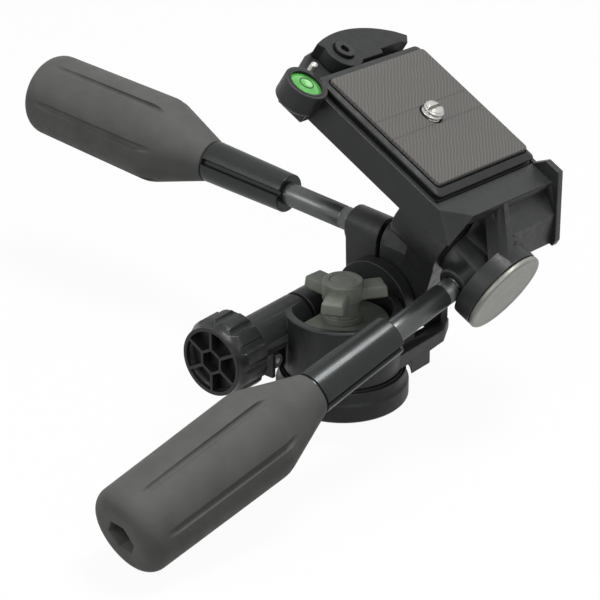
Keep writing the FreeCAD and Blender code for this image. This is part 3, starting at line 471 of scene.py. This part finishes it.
def weave():
    """Pad rubber with slanting stripes in shallow zigzag bands and two cross lines beside the screw; the
    stripes' valleys carry painted shade, their crests a painted highlight, and the cross lines painted shade.
    """
    stripe_x, stripe_y = -0.64, 0.77
    stripe_pitch = 1.05
    band_w = 2.6
    band_bend = 0.13
    line_y = 3.4
    line_half_w = 0.16
    valley_shade, crest, worn, cut = 0.76, 1.16, 0.86, 0.6     # shares of the pad's tone: painted shade in the stripes' valleys, painted highlight on their crests, random wear, painted shade in the cross lines
    made = Finish("pad_rubber", tone(92, 90, 87), roughness=0.68, own=True)
    axes = made.axes()
    slant = made.math("MULTIPLY", axes["X"], stripe_x)
    slant = made.math("MULTIPLY_ADD", axes["Y"], stripe_y, slant)
    bands = made.math("PINGPONG", axes["Y"], band_w * MM)
    across = made.math("MULTIPLY_ADD", bands, band_bend, slant)
    ridge = made.waves(across, stripe_pitch)
    ridge = made.math("MULTIPLY_ADD", ridge, 0.5, 0.5)      # from -1..1 to 0..1
    from_line = made.math("SUBTRACT", made.math("ABSOLUTE", axes["Y"]), line_y * MM)
    line = made.math("LESS_THAN", made.math("ABSOLUTE", from_line), line_half_w * MM)
    flat = made.math("MULTIPLY", ridge, made.math("SUBTRACT", 1.0, line))
    # painted shade in the stripes' valleys and painted highlight on their crests
    shade = made.blend(flat, made.scaled(valley_shade), made.scaled(crest))
    wear = made.ramp(made.noise(scale=260, detail=4), low=0.0, high=0.5)
    drift = made.blend(wear, shade, made.scaled(worn))
    # painted shade in the two cross lines
    made.link(made.blend(line, drift, made.scaled(cut)), made.shader.inputs["Base Color"])
    made.relief(flat, depth_mm=0.1)
    return made.relief(made.noise(scale=2400, detail=2), depth_mm=0.03)


def metal(name, colour, roughness, metallic=1.0, stretch=None):
    """Metal; with a stretch, its grain runs along the piece's own directions."""
    made = Finish(name, colour, roughness, metallic, own=stretch is not None)
    made.set(Specular_Tint=EDGE_TINT)
    made.mottle(made.noise(scale=240), spread=0.07)
    made.patchy(made.noise(scale=900, stretch=stretch), spread=0.06)
    return made.relief(made.noise(scale=2200, detail=2, stretch=stretch), depth_mm=0.012)


def cover_metal():
    """Satin disc with faint turning marks round its own Z."""
    mark_pitch = 0.42
    made = Finish("cover_plate", tone(140, 141, 134), roughness=0.42, metallic=0.35, own=True)
    axes = made.axes()
    squares = made.math("MULTIPLY_ADD", axes["X"], axes["X"], made.math("POWER", axes["Y"], 2.0))
    marks = made.waves(made.math("SQRT", squares), mark_pitch)
    made.mottle(made.noise(scale=150, detail=4), spread=0.08)
    made.patchy(made.noise(scale=700), spread=0.05)
    made.relief(marks, depth_mm=0.006)
    return made.relief(made.noise(scale=2400, detail=2), depth_mm=0.02)


def vial_fluid():
    """Green fluid under a glossy skin, with a faint painted glow from emission."""
    made = Finish("level_glass", tone(84, 176, 74), roughness=0.1)
    made.mottle(made.noise(scale=320, detail=2), spread=0.22)
    made.set(Coat_Weight=0.5, Coat_Roughness=0.06, IOR=1.49)
    # painted glow: the fluid emits light though it is no lamp
    made.set(Emission_Color=tone(70, 170, 70), Emission_Strength=0.08)
    return made.relief(made.noise(scale=400, detail=1), depth_mm=0.01)


def bubble():
    """Pale bubble of the level."""
    made = Finish("level_bubble", tone(150, 222, 140), roughness=0.12)
    made.mottle(made.noise(scale=500, detail=2), spread=0.08)
    return made.set(Coat_Weight=0.4, Coat_Roughness=0.06)


FINISHES = {
    "black_casting": casting("black_casting", tone(42, 43, 43), roughness=0.42),
    "black_plastic": casting("black_plastic", tone(31, 32, 32), roughness=0.36),
    "knob_plastic": casting("knob_plastic", tone(120, 125, 115), roughness=0.42),
    "washer_plastic": casting("washer_plastic", tone(24, 24, 24), roughness=0.5),
    "grip_rubber": rubber(),
    "pad_rubber": weave(),
    "steel": metal("steel", tone(196, 195, 190), roughness=0.34, metallic=0.7),
    "dark_steel": metal("dark_steel", tone(64, 66, 66), roughness=0.27, stretch=ALONG_GRAIN),
    "rod_steel": metal("rod_steel", tone(96, 98, 98), roughness=0.34, metallic=0.6, stretch=ALONG_GRAIN),
    "plate_plastic": casting("plate_plastic", tone(30, 31, 31), roughness=0.55),
    "black_screw": casting("black_screw", tone(30, 31, 31), roughness=0.36),
    "sleeve_steel": metal("sleeve_steel", tone(52, 54, 54), roughness=0.3, metallic=0.5, stretch=ALONG_GRAIN),
    # darker copy of the black casting for the pan base: painted shade
    "shaded_base_casting": casting("shaded_base_casting", tone(18, 19, 19), roughness=0.5),
    "brass": metal("brass", tone(201, 168, 98), roughness=0.34),
    "cover_plate": cover_metal(),
    "level_glass": vial_fluid(),
    "level_bubble": bubble(),
}
OWN_LOOKS = {           # eased nodes that leave their slot's look
    "lever_pivot_screw": "black_screw",
    # the pan base takes the darker copy of its casting, as painted shade
    "pan_base": "shaded_base_casting",
    "release_lever": "plate_plastic",
}


# Mesh building

def rounded(corners):
    """Outline through (along, radius, rounding) corners, with each rounding an arc."""
    points = [Vector(corner[:2]) for corner in corners]
    out = []
    for n, point in enumerate(points):
        rounding = corners[n][2] if len(corners[n]) > 2 else 0
        if not rounding or n in (0, len(points) - 1):
            out.append(point)
            continue
        back = (points[n - 1] - point).normalized()
        ahead = (points[n + 1] - point).normalized()
        half = back.angle(ahead) / 2
        centre = point + (back + ahead).normalized() * (rounding / sin(half))
        first = point + back * (rounding / tan(half))
        last = point + ahead * (rounding / tan(half))
        steps = max(2, round((180 - 2 * half * 180 / pi) / ARC_STEP))
        start = atan2(first.y - centre.y, first.x - centre.x)
        sweep = (atan2(last.y - centre.y, last.x - centre.x) - start + pi) % (2 * pi) - pi
        for step in range(steps + 1):
            turn = start + sweep * step / steps
            out.append(centre + Vector((cos(turn), sin(turn))) * rounding)
    return out


def divided(points, longest):
    """The same outline with no run longer than a length."""
    out = [points[0]]
    for before, after in zip(points, points[1:]):
        steps = max(1, int((after - before).length / longest) + 1)
        out += [before.lerp(after, step / steps) for step in range(1, steps + 1)]
    return out


def finished_mesh(name, mesh, sharp=SHARP):
    bmesh.ops.recalc_face_normals(mesh, faces=mesh.faces)
    data = bpy.data.meshes.new(name)
    mesh.to_mesh(data)
    mesh.free()
    data.shade_smooth()
    data.set_sharp_from_angle(angle=radians(sharp))
    return data


def skin_rows(mesh, rows):
    """Faces between each row of points round a shape and the next."""
    count = len(rows[0])
    for low, high in zip(rows, rows[1:]):
        for n in range(count):
            mesh.faces.new((low[n], low[(n + 1) % count], high[(n + 1) % count], high[n]))


def lathe(name, rings, turns, closed=True):
    """Skin over rings of (height, radius-by-angle) about Z, closed by a face at both ends."""
    mesh = bmesh.new()
    rows = []
    for height, radius in rings:
        row = []
        for turn in turns:
            x, y = radius(turn) * cos(turn), radius(turn) * sin(turn)
            row.append(mesh.verts.new((x * MM, y * MM, height * MM)))
        rows.append(row)
    skin_rows(mesh, rows)
    if closed:
        mesh.faces.new(list(reversed(rows[0])))
        mesh.faces.new(rows[-1])
    return finished_mesh(name, mesh)


def evenly(sides):
    return [2 * pi * n / sides for n in range(sides)]


def level_rings(outline):
    """Rings for a lathe from (height, radius) points, alike at every angle."""
    return [(height, lambda turn, r=radius: r) for height, radius in outline]


def plain_lathe(name, outline, sides):
    """Turned shape from an outline of (height, radius) points."""
    return lathe(name, level_rings(outline), evenly(sides))


def rounded_box(half_x, half_y, corner):
    """Outline of a rounded rectangle about the axis, with points along its sides too."""
    outline = []
    for quarter, (sx, sy) in enumerate(((1, 1), (-1, 1), (-1, -1), (1, -1))):
        centre = Vector((sx * (half_x - corner), sy * (half_y - corner)))
        for step in range(BOX_ARC):
            turn = radians(90 * quarter + 90 * step / (BOX_ARC - 1))
            outline.append(centre + Vector((cos(turn), sin(turn))) * corner)
        last = outline[-1]
        if quarter % 2 == 0:
            ahead = Vector((-sx * (half_x - corner), last.y))
        else:
            ahead = Vector((last.x, -sy * (half_y - corner)))
        outline += [last.lerp(ahead, step / BOX_SIDE) for step in range(1, BOX_SIDE)]
    return outline


def ring_like(outline, radius):
    """Circle with a point towards each point of an outline."""
    return [point.normalized() * radius for point in outline]


def stacked(name, rows):
    """Closed skin over rows of (outline, height), the last joined to the first."""
    mesh = bmesh.new()
    made = []
    for outline, z in rows:
        made.append([mesh.verts.new((point.x * MM, point.y * MM, z * MM)) for point in outline])
    skin_rows(mesh, made + made[:1])
    return finished_mesh(name, mesh, STACK_SHARP)


def block(mesh, low, high, turn=0.0, taper=0.0):
    """Box between two corners, its top drawn in by a taper, turned about Z."""
    spin = turned_about("Z", turn)
    made = []
    for z in (low[2], high[2]):
        inset = taper if z == high[2] else 0.0
        near, far = low[1] + inset, high[1] - inset
        for x, y in ((low[0], near), (high[0] - inset, near), (high[0] - inset, far), (low[0], far)):
            made.append(mesh.verts.new(spin @ Vector((x * MM, y * MM, z * MM))))
    for n in range(4):
        mesh.faces.new((made[n], made[(n + 1) % 4], made[4 + (n + 1) % 4], made[4 + n]))
    mesh.faces.new(made[3::-1])
    mesh.faces.new(made[4:])


def linked(made):
    bpy.context.scene.collection.objects.link(made)
    return made


def piece(name, data, place, body, look, *nodes):
    """Object of one mesh carried to its place; it rides on a body and may stand for CAD nodes."""
    own = data.attributes.new(OWN, "FLOAT_VECTOR", "POINT")
    own.data.foreach_set("vector", [value for point in data.vertices for value in point.co])
    data.transform(place)
    made = linked(bpy.data.objects.new(name, data))
    made.data.materials.append(FINISHES[look].material)
    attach(made, body)
    if nodes:
        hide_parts(*nodes)
    return made


def weighted(made):
    """Keeps flat faces flat-shaded beside their rounded edges."""
    weights = made.modifiers.new("weights", "WEIGHTED_NORMAL")
    weights.keep_sharp = True
    return made


# CAD pieces with their edges eased

BODY_OF = {}
for body_name, body_nodes in frame["record"]["behaviour"]["bodies"].items():
    for node_name in body_nodes:
        BODY_OF[node_name] = body_name
SLOT_OF = {entry["node"]: entry["material_slot"] for entry in frame["record"]["subparts"]}

EASED = {               # width of the rounding on each node's edges
    "pan_base": 0.3,
    "pan_body": 0.3,
    "tilt_body": 0.3,
    "platform_bracket": 0.25,
    "release_lever": 0.35,
    "pan_lock_knob": 0.25,
    "lever_pivot_screw": 0.12,
    "wing_thrust_washer": 0.25,
}


def open_edge(edge, width):
    """A sharp outer edge whose two faces leave room for a bevel."""
    if len(edge.link_faces) != 2 or not edge.is_convex or edge.calc_face_angle(0) < radians(OPEN_ANGLE):
        return False
    length = edge.calc_length()
    if length < EDGE_MIN * width:
        return False
    return all(face.calc_area() / length > FACE_MIN * width for face in edge.link_faces)


def eased(node, width_mm):
    """Copy of a CAD node with its flat faces merged and its sharp edges rounded."""
    width = width_mm * MM
    mesh = bmesh.new()
    mesh.from_mesh(frame["nodes"][node].data)
    bmesh.ops.remove_doubles(mesh, verts=mesh.verts, dist=SAME_POINT)
    bmesh.ops.dissolve_limit(mesh, angle_limit=radians(SAME_PLANE), verts=mesh.verts, edges=mesh.edges)
    edges = [edge for edge in mesh.edges if open_edge(edge, width)]
    bmesh.ops.bevel(mesh, geom=edges, offset=width, offset_type="OFFSET", segments=2, profile=0.5,
                    affect="EDGES", clamp_overlap=False, loop_slide=True)
    data = finished_mesh(node + "_eased", mesh)
    look = OWN_LOOKS.get(node, SLOT_OF[node])
    return weighted(piece(node + "_eased", data, Matrix.Identity(4), BODY_OF[node], look, node))


# Handles

def groove_turns():
    """Angles round a grip, close together across each groove."""
    sector = 360 // GROOVES
    turns = sorted({-step for step in GROOVE_STEPS} | set(GROOVE_STEPS) | {sector // 2})
    return [radians(sector * n + GROOVE_TURN + turn) for n in range(GROOVES) for turn in turns]


def soft_least(first, second, blend):
    """The smaller of two lengths, with the corner between them rounded."""
    share = max(0.0, min(1.0, 0.5 + 0.5 * (second - first) / blend))
    return second * (1 - share) + first * share - blend * share * (1 - share)


def grooved(radius, height, turn):
    """Grip radius at an angle, with the round groove there cut into it."""
    reach = GRIP_END_R + GROOVE_OUT * GROOVE_R
    sector = 2 * pi / GROOVES
    off = (turn - radians(GROOVE_TURN) + sector / 2) % sector - sector / 2
    size = GROOVE_R ** 2 - max(0.0, height - GROOVE_END) ** 2
    room = size - (reach * sin(off)) ** 2
    if size <= 0 or room <= 0:
        return radius
    return soft_least(radius, reach * cos(off) - sqrt(room), GROOVE_BLEND)


def hexed(radius, share, turn):
    """Radius part-way from a circle to a hexagon with a corner at angle 0."""
    side = cos(pi / 6) / cos((turn % (pi / 3)) - pi / 6)
    return radius * (1 - share + share * side)


def grip_mesh(name):
    """Grip from its neck to its end, and back in down the hexagonal hole."""
    skin = rounded([
        (GRIP_START, GRIP_CORE_R), (GRIP_START, SLEEVE_R_OUT, GRIP_EDGE),
        (SHOULDER, SHOULDER_R, SHOULDER_ROUND), (GRIP_END, GRIP_END_R, GRIP_ROUND),
        (GRIP_END, GRIP_MOUTH_R),
    ])
    rings = []
    for point in divided(skin, longest=1.3):
        rings.append((point.x, lambda turn, p=point: grooved(p.y, p.x, turn)))
    for depth, wider, share in HEX_MOUTH:
        rings.append((GRIP_END - depth, lambda turn, r=HEX_R + wider, s=share: hexed(r, s, turn)))
    return lathe(name, rings, groove_turns())


def sleeve_mesh(name, slot_turn):
    """Sleeve with a narrow neck at the grip and an open slot along its whole side."""
    neck = GRIP_START - JOINT_L
    neck_end = GRIP_START + JOINT_OVERLAP
    bore_r = ROD_R - SLEEVE_SEAT
    skin = rounded([
        (SLEEVE_START, bore_r), (SLEEVE_START, SLEEVE_R_IN, SLEEVE_EDGE),
        (neck, SLEEVE_R_OUT, SLEEVE_NECK_EDGE), (neck, SLEEVE_R_OUT - JOINT_T),
        (neck_end, SLEEVE_R_OUT - JOINT_T), (neck_end, bore_r),
    ])
    middle = radians(slot_turn)
    half = SLOT_W / 2 / SLEEVE_R_OUT
    turns = [middle + half * value for value in SLOT_NEAR]
    sides = 84
    span = 2 * pi - 2 * SLOT_ZONE * half
    turns += [middle + half * SLOT_ZONE + span * n / sides for n in range(1, sides)]

    def radius_at(point, turn):
        if point.x > neck:
            return point.y
        off = abs((turn - middle + pi) % (2 * pi) - pi) / half
        inside = max(0.0, min(1.0, (SLOT_WALL_END - off) / SLOT_WALL))
        return max(bore_r, point.y - SLOT_DEPTH * inside)

    rings = [(point.x, lambda turn, p=point: radius_at(p, turn)) for point in divided(skin, longest=2.5)]
    return lathe(name, rings, turns)


def rod_mesh(name):
    """Rod with a shallow ring cut near its shoulder."""
    ring_r = ROD_R - ROD_RING_T
    skin = rounded([
        (0, CORE_R), (0, ROD_R, ROD_EDGE),
        (ROD_RING_START, ROD_R), (ROD_RING_START + ROD_RING_SLOPE, ring_r),
        (ROD_RING_END - ROD_RING_SLOPE, ring_r), (ROD_RING_END, ROD_R),
        (ROD_END, ROD_R, ROD_EDGE), (ROD_END, CORE_R),
    ])
    return plain_lathe(name, divided(skin, longest=20), sides=72)


def stud_mesh(name, length):
    """The stud ahead of the shoulder, with its thread's crests as rings."""
    along = STUD_TIP - length
    points = [(-length, CORE_R), (-length, STUD_ROOT_R), (along, STUD_CREST_R)]
    while along < -STUD_RUN_OUT:
        points += [(along + STUD_PITCH / 2, STUD_ROOT_R), (along + STUD_PITCH, STUD_CREST_R)]
        along += STUD_PITCH
    points += [(STUD_LAST_ROOT, STUD_ROOT_R), (STUD_OVERLAP, STUD_ROOT_R), (STUD_OVERLAP, CORE_R)]
    return plain_lathe(name, points, sides=48)


def build_handle(side, place, stud, slot_turn):
    body = side + "_handle"
    sleeve = sleeve_mesh(side + "_sleeve", slot_turn)
    piece(side + "_grip", grip_mesh(side + "_grip"), place, body, "grip_rubber", body + "_grip")
    piece(side + "_sleeve", sleeve, place, body, "sleeve_steel", body + "_sleeve")
    piece(side + "_rod", rod_mesh(side + "_rod"), place, body, "rod_steel", body + "_rod")
    piece(side + "_stud", stud_mesh(side + "_stud", stud), place, body, "dark_steel")


# Pan knob

def wing_lobes():
    mesh = bmesh.new()
    top = WING_TOP - LOBE_DROP
    low = (LOBE_START, -LOBE_W / 2, top - LOBE_T)
    high = (LOBE_REACH, LOBE_W / 2, top)
    for n in range(LOBES):
        block(mesh, low, high, 360 / LOBES * n + WING_TURN, LOBE_TAPER)
    bmesh.ops.bevel(mesh, geom=list(mesh.edges), offset=LOBE_EDGE * MM, offset_type="OFFSET", segments=3,
                    profile=0.5, affect="EDGES", clamp_overlap=True)
    return finished_mesh("wing_lobes", mesh)


def build_wing():
    """Turned head, neck and foot, a small cap over the spindle's end, and three lobes."""
    place = Matrix.Identity(4)
    head_z = WING_TOP - LOBE_DROP - LOBE_T
    foot_z = WING_BOTTOM + WING_FOOT_T
    skin = rounded([
        (WING_BOTTOM, WING_BORE_R), (WING_BOTTOM, WING_HUB_R, WING_FOOT_EDGE),
        (foot_z, WING_HUB_R, WING_STEP_EDGE), (foot_z, WING_NECK_R, WING_STEP_EDGE),
        (head_z, WING_NECK_R, WING_STEP_EDGE), (head_z, WING_HUB_R, WING_HEAD_EDGE),
        (WING_TOP, WING_HUB_R, WING_TOP_EDGE), (WING_TOP, WING_BORE_R + WING_MOUTH, WING_MOUTH_EDGE),
        (WING_TOP - WING_MOUTH_T, WING_BORE_R + WING_MOUTH_FLOOR),
    ])
    hub = plain_lathe("wing_hub", divided(skin, longest=3), sides=84)
    piece("wing_hub", hub, place, "pan_drag", "knob_plastic", "pan_wing_knob")
    cap_skin = rounded([
        (WING_TOP - WING_CAP_FOOT, WING_CAP_R), (WING_TOP - WING_CAP_RIM, WING_CAP_R, WING_CAP_EDGE),
        (WING_TOP - WING_CAP_MIDDLE, WING_CAP_MIDDLE_R),
    ])
    piece("wing_cap", plain_lathe("wing_cap", cap_skin, sides=60), place, "pan_drag", "knob_plastic")
    weighted(piece("wing_lobes", wing_lobes(), place, "pan_drag", "knob_plastic"))


# Platform pieces

def cover_mesh():
    """Disc about Z with a fine rim and a slightly dished face; +Z is its back."""
    back = COVER_T + COVER_STEP_T
    back_r = COVER_R - COVER_STEP_IN
    skin = rounded([
        (COVER_DISH, COVER_MIDDLE_R), (COVER_RIM_FOOT_T, COVER_R - COVER_RIM_FOOT),
        (0, COVER_R - COVER_RIM_IN, COVER_RIM_EDGE), (0, COVER_R - COVER_RIM_OUT, COVER_EDGE),
        (COVER_BEVEL_T, COVER_R, COVER_EDGE), (COVER_T, COVER_R, COVER_BACK_EDGE),
        (COVER_T, back_r), (back, back_r), (back, COVER_MIDDLE_R),
    ])
    return plain_lathe("cover", divided(skin, longest=2), sides=144)


def pad_mesh():
    """Rounded rubber sheet below z = 0, with a hole for the screw."""
    def outline(inset):
        return rounded_box(PAD_W / 2 - inset, PAD_L / 2 - inset, PAD_CORNER)

    side = outline(0)
    hole_r = SCREW_R + PAD_HOLE_GAP
    hole = ring_like(side, hole_r)
    rows = [
        (outline(PAD_EDGE), -PAD_T), (side, PAD_FOOT_EDGE_T - PAD_T), (side, -PAD_EDGE),
        (outline(PAD_EDGE_MID), -PAD_EDGE_MID), (outline(PAD_EDGE_TOP), 0),
        (ring_like(side, hole_r + PAD_EDGE), 0), (hole, -PAD_HOLE_EDGE_T), (hole, -PAD_T),
    ]
    return stacked("plate_pad_sheet", rows)


def plate_mesh():
    """Quick plate below z = 0: bevelled rim, a groove round its sides, a foot and the screw's recess."""
    def outline(inset):
        return rounded_box(PLATE_W / 2 - inset, PLATE_L / 2 - inset, PLATE_CORNER)

    def round_pad(gap):
        return rounded_box(PAD_W / 2 + gap, PAD_L / 2 + gap, PAD_CORNER + gap)

    rim = -PLATE_DROP
    rim_foot = rim - PLATE_RIM_T
    foot = rim_foot - PLATE_WAIST
    floor = PAD_Z - PAD_T - PLATE_TOP
    moat_floor = floor - MOAT_T
    margin = PLATE_W / 2 - PAD_W / 2
    moat_z = -PLATE_DROP * (1 - (margin - MOAT_W) / PLATE_BEVEL)
    recess = SCREW_HEAD_T + HEAD_ROOM - PLATE_T
    head = ring_like(outline(0), SCREW_HEAD_R + HEAD_GAP)
    neck = ring_like(outline(0), SCREW_NECK_R + NECK_GAP)
    side = outline(PLATE_INSET)
    waist = outline(PLATE_WAIST)
    moat = round_pad(MOAT_W)
    seat = round_pad(PAD_SEAT)
    rows = [
        (head, -PLATE_T), (outline(PLATE_FOOT_EDGE), -PLATE_T), (side, PLATE_FOOT_EDGE - PLATE_T),
        (side, foot - WAIST_EDGE_T), (outline(WAIST_EDGE), foot), (waist, foot), (waist, foot + WAIST_STEP),
        (outline(RIM_FOOT_EDGE), rim_foot), (side, rim_foot + RIM_FOOT_EDGE_T),
        (side, rim - RIM_EDGE_T), (outline(RIM_EDGE), rim + RIM_EDGE_UP),
        (round_pad(MOAT_W + MOAT_EDGE), moat_z - MOAT_EDGE_DROP), (moat, moat_z - MOAT_EDGE_T),
        (moat, moat_floor), (seat, moat_floor), (seat, floor), (neck, floor), (neck, recess), (head, recess),
    ]
    return stacked("quick_plate_moulded", rows)


def screw_mesh():
    """Camera screw about Z: head below the plate, neck, and a thread that winds up to a chamfered tip."""
    tip = PAD_Z + SCREW_PROUD
    foot = PAD_Z - SCREW_START
    head_top = SCREW_HEAD_Z + SCREW_HEAD_T
    rings = level_rings([
        (SCREW_HEAD_Z, SCREW_MIDDLE_R), (SCREW_HEAD_Z, SCREW_HEAD_R - SCREW_HEAD_EDGE),
        (SCREW_HEAD_Z + SCREW_HEAD_EDGE, SCREW_HEAD_R), (head_top - SCREW_HEAD_EDGE, SCREW_HEAD_R),
        (head_top, SCREW_HEAD_R - SCREW_HEAD_EDGE), (head_top, SCREW_NECK_R), (foot, SCREW_NECK_R),
    ])

    def crest(height, turn):
        phase = ((height - foot) / SCREW_PITCH - turn / (2 * pi)) % 1.0
        depth = SCREW_THREAD_T * (1 - abs(2 * phase - 1)) ** SCREW_CREST
        near_tip = max(0.0, height - (tip - SCREW_TIP))
        return min(SCREW_R - depth, SCREW_R - SCREW_WORN - near_tip)

    steps = 28
    for step in range(steps + 1):
        height = foot + (tip - foot) * step / steps
        rings.append((height, lambda turn, h=height: crest(h, turn)))
    rings.append((tip, lambda turn: SCREW_TIP_R))
    return lathe("camera_screw_turned", rings, evenly(72))


def slot_cut(made, place, low, high):
    """Cuts a box out of a piece, given in the piece's own directions."""
    mesh = bmesh.new()
    block(mesh, low, high)
    bmesh.ops.recalc_face_normals(mesh, faces=mesh.faces)
    data = bpy.data.meshes.new(made.name + "_slot")
    mesh.to_mesh(data)
    mesh.free()
    data.transform(place)
    cutter = linked(bpy.data.objects.new(made.name + "_slot", data))
    cut = made.modifiers.new("slot", "BOOLEAN")
    cut.operation = "DIFFERENCE"
    cut.solver = "EXACT"
    cut.object = cutter
    bpy.context.view_layer.update()
    result = bpy.data.meshes.new_from_object(made.evaluated_get(bpy.context.evaluated_depsgraph_get()))
    made.modifiers.clear()
    made.data = result
    bpy.data.objects.remove(cutter)


def build_vial():
    """Green vial under a clear dome, with its ring and bubble, about the level's own axis."""
    place = SIDE @ shifted(LEVEL_X, LEVEL_Y, LEVEL_TOP)
    ball = (VIAL_R ** 2 + VIAL_DOME ** 2) / (2 * VIAL_DOME)
    skin = [(-VIAL_H, VIAL_FOOT_R), (-VIAL_H, VIAL_R)]
    for step in range(VIAL_DOME_STEPS, 0, -1):
        radius = VIAL_R * step / VIAL_DOME_STEPS
        skin.append((sqrt(ball ** 2 - radius ** 2) - ball, radius))
    skin.append((0, VIAL_TOP_R))
    vial = plain_lathe("vial", skin, sides=96)
    piece("vial", vial, place, "platform", "level_glass", "level_vial")
    ring_skin = []
    for turn in evenly(12):
        height = VIAL_RING_Z + VIAL_RING_HALF_T * sin(turn)
        ring_skin.append((height, VIAL_RING_R + VIAL_RING_HALF_W * cos(turn)))
    ring = lathe("vial_ring", level_rings(ring_skin + ring_skin[:1]), evenly(72), closed=False)
    piece("vial_ring", ring, place, "platform", "black_plastic")
    bubble_mesh = plain_lathe("vial_bubble", BUBBLE_SKIN, sides=64)
    piece("vial_bubble", bubble_mesh, place @ shifted(*BUBBLE_OFF), "platform", "level_bubble")


def build_platform_pieces():
    cover_place = SIDE @ turned_about("X", -90)
    piece("cover_disc", cover_mesh(), cover_place, "platform", "cover_plate", "side_tilt_cover")
    pad_place = SIDE @ shifted(0, PAD_Y, PAD_Z)
    weighted(piece("plate_pad_sheet", pad_mesh(), pad_place, "plate", "pad_rubber", "quick_plate_pad"))
    plate_place = SIDE @ shifted(0, PAD_Y, PLATE_TOP)
    weighted(piece("quick_plate_moulded", plate_mesh(), plate_place, "plate", "plate_plastic", "quick_plate"))
    screw_place = SIDE @ shifted(0, PAD_Y, 0)
    screw = piece("camera_screw_turned", screw_mesh(), screw_place, "camera", "steel", "camera_screw")
    tip = PAD_Z + SCREW_PROUD
    reach = SCREW_R + SCREW_SLOT_PAST
    low = (-reach, -SCREW_SLOT_HALF, tip - SCREW_SLOT_DEPTH)
    high = (reach, SCREW_SLOT_HALF, tip + SCREW_SLOT_PAST)
    slot_cut(screw, screw_place, low, high)
    build_vial()


# Stage

def seen_ray(tree):
    """1 for rays from the camera, off gloss or through glass."""
    path = tree.nodes.new("ShaderNodeLightPath")
    total = path.outputs["Is Camera Ray"]
    for name in ("Is Glossy Ray", "Is Transmission Ray"):
        greater = tree.nodes.new("ShaderNodeMath")
        greater.operation = "MAXIMUM"
        tree.links.new(total, greater.inputs[0])
        tree.links.new(path.outputs[name], greater.inputs[1])
        total = greater.outputs[0]
    return total


def build_floor():
    """Pale floor that the camera sees as white but for the head's soft shadow."""
    mesh = bpy.data.meshes.new("floor")
    z = FLOOR_Z * MM
    corners = [(x * FLOOR_REACH, y * FLOOR_REACH, z) for x, y in ((-1, -1), (1, -1), (1, 1), (-1, 1))]
    mesh.from_pydata(corners, [], [(0, 1, 2, 3)])
    floor = linked(bpy.data.objects.new("floor", mesh))
    finish = Finish("floor_paper", (FLOOR_SHADE, FLOOR_SHADE, FLOOR_SHADE, 1.0), roughness=0.8)
    finish.mottle(finish.noise(scale=6, detail=2), spread=0.01)
    glow = finish.node("ShaderNodeEmission")
    glow.inputs["Strength"].default_value = FLOOR_GLOW
    mix = finish.node("ShaderNodeMixShader")
    finish.link(finish.math("MULTIPLY", seen_ray(finish.tree), FLOOR_GLOW_SHARE), mix.inputs[0])
    finish.link(finish.shader.outputs[0], mix.inputs[1])
    finish.link(glow.outputs[0], mix.inputs[2])
    finish.link(mix.outputs[0], finish.tree.nodes["Material Output"].inputs["Surface"])
    floor.data.materials.append(finish.material)


def build_world():
    """White background that lights the head only dimly."""
    world = bpy.data.worlds.new("studio")
    bpy.context.scene.world = world
    world.use_nodes = True
    tree = world.node_tree
    background = tree.nodes["Background"]
    background.inputs["Color"].default_value = WHITE
    strength = tree.nodes.new("ShaderNodeMapRange")
    strength.inputs["To Min"].default_value = WORLD_LIGHT
    strength.inputs["To Max"].default_value = 1.0
    tree.links.new(seen_ray(tree), strength.inputs["Value"])
    tree.links.new(strength.outputs["Result"], background.inputs["Strength"])


RIGHT = Vector((cos(radians(VIEW_TURN)), sin(radians(VIEW_TURN)), 0))
AWAY = Vector((-RIGHT.y, RIGHT.x, 0))
BACK = -AWAY * cos(radians(VIEW_RISE)) + Vector((0, 0, sin(radians(VIEW_RISE))))
UP = BACK.cross(RIGHT)


def lamp(name, side, rise, toward, distance, size, watts):
    """Soft light on the middle of the head, placed by the camera's right, the zenith and the camera's
    side of the head; distance and size are in metres."""
    direction = (RIGHT * side + Vector((0, 0, 1)) * rise - AWAY * toward).normalized()
    data = bpy.data.lights.new(name, "AREA")
    data.shape = "RECTANGLE"
    data.size, data.size_y = size
    data.energy = watts
    made = linked(bpy.data.objects.new(name, data))
    place = LIT_POINT * MM + direction * distance
    made.matrix_world = Matrix.Translation(place) @ direction.to_track_quat("Z", "Y").to_matrix().to_4x4()


def build_lights():
    lamp("key", side=0.25, rise=1.0, toward=0.0, distance=0.8, size=(0.26, 0.26), watts=5.0)
    lamp("left", side=-0.9, rise=0.8, toward=0.6, distance=1.0, size=(0.5, 0.4), watts=3.0)
    lamp("front", side=0.3, rise=0.6, toward=1.0, distance=1.0, size=(0.5, 0.4), watts=2.0)


def build_camera():
    data = bpy.data.cameras.new("camera")
    data.sensor_width = SENSOR
    data.lens = FOCAL_PIXELS * SENSOR / FRAME_PIXELS
    data.clip_start = CLIP_START
    made = linked(bpy.data.objects.new("camera", data))
    eye = (BACK * VIEW_DISTANCE - RIGHT * VIEW_SIDE - UP * VIEW_UP) * MM
    turn = Matrix((RIGHT, UP, BACK)).transposed().to_4x4()
    made.matrix_world = Matrix.Translation(eye) @ turn
    bpy.context.scene.camera = made


for node_name, node_object in frame["nodes"].items():
    node_object.data.materials.clear()
    node_object.data.materials.append(FINISHES[SLOT_OF[node_name]].material)
for node_name, edge_width in EASED.items():
    eased(node_name, edge_width)
build_handle("rear", rear_handle_place(), REAR_STUD, REAR_SLOT_TURN)
build_handle("front", front_handle_place(), FRONT_STUD, FRONT_SLOT_TURN)
build_wing()
build_platform_pieces()
build_floor()
build_world()
build_lights()
build_camera()
bpy.context.scene.view_settings.view_transform = "Standard"

bpy.context.view_layer.update()
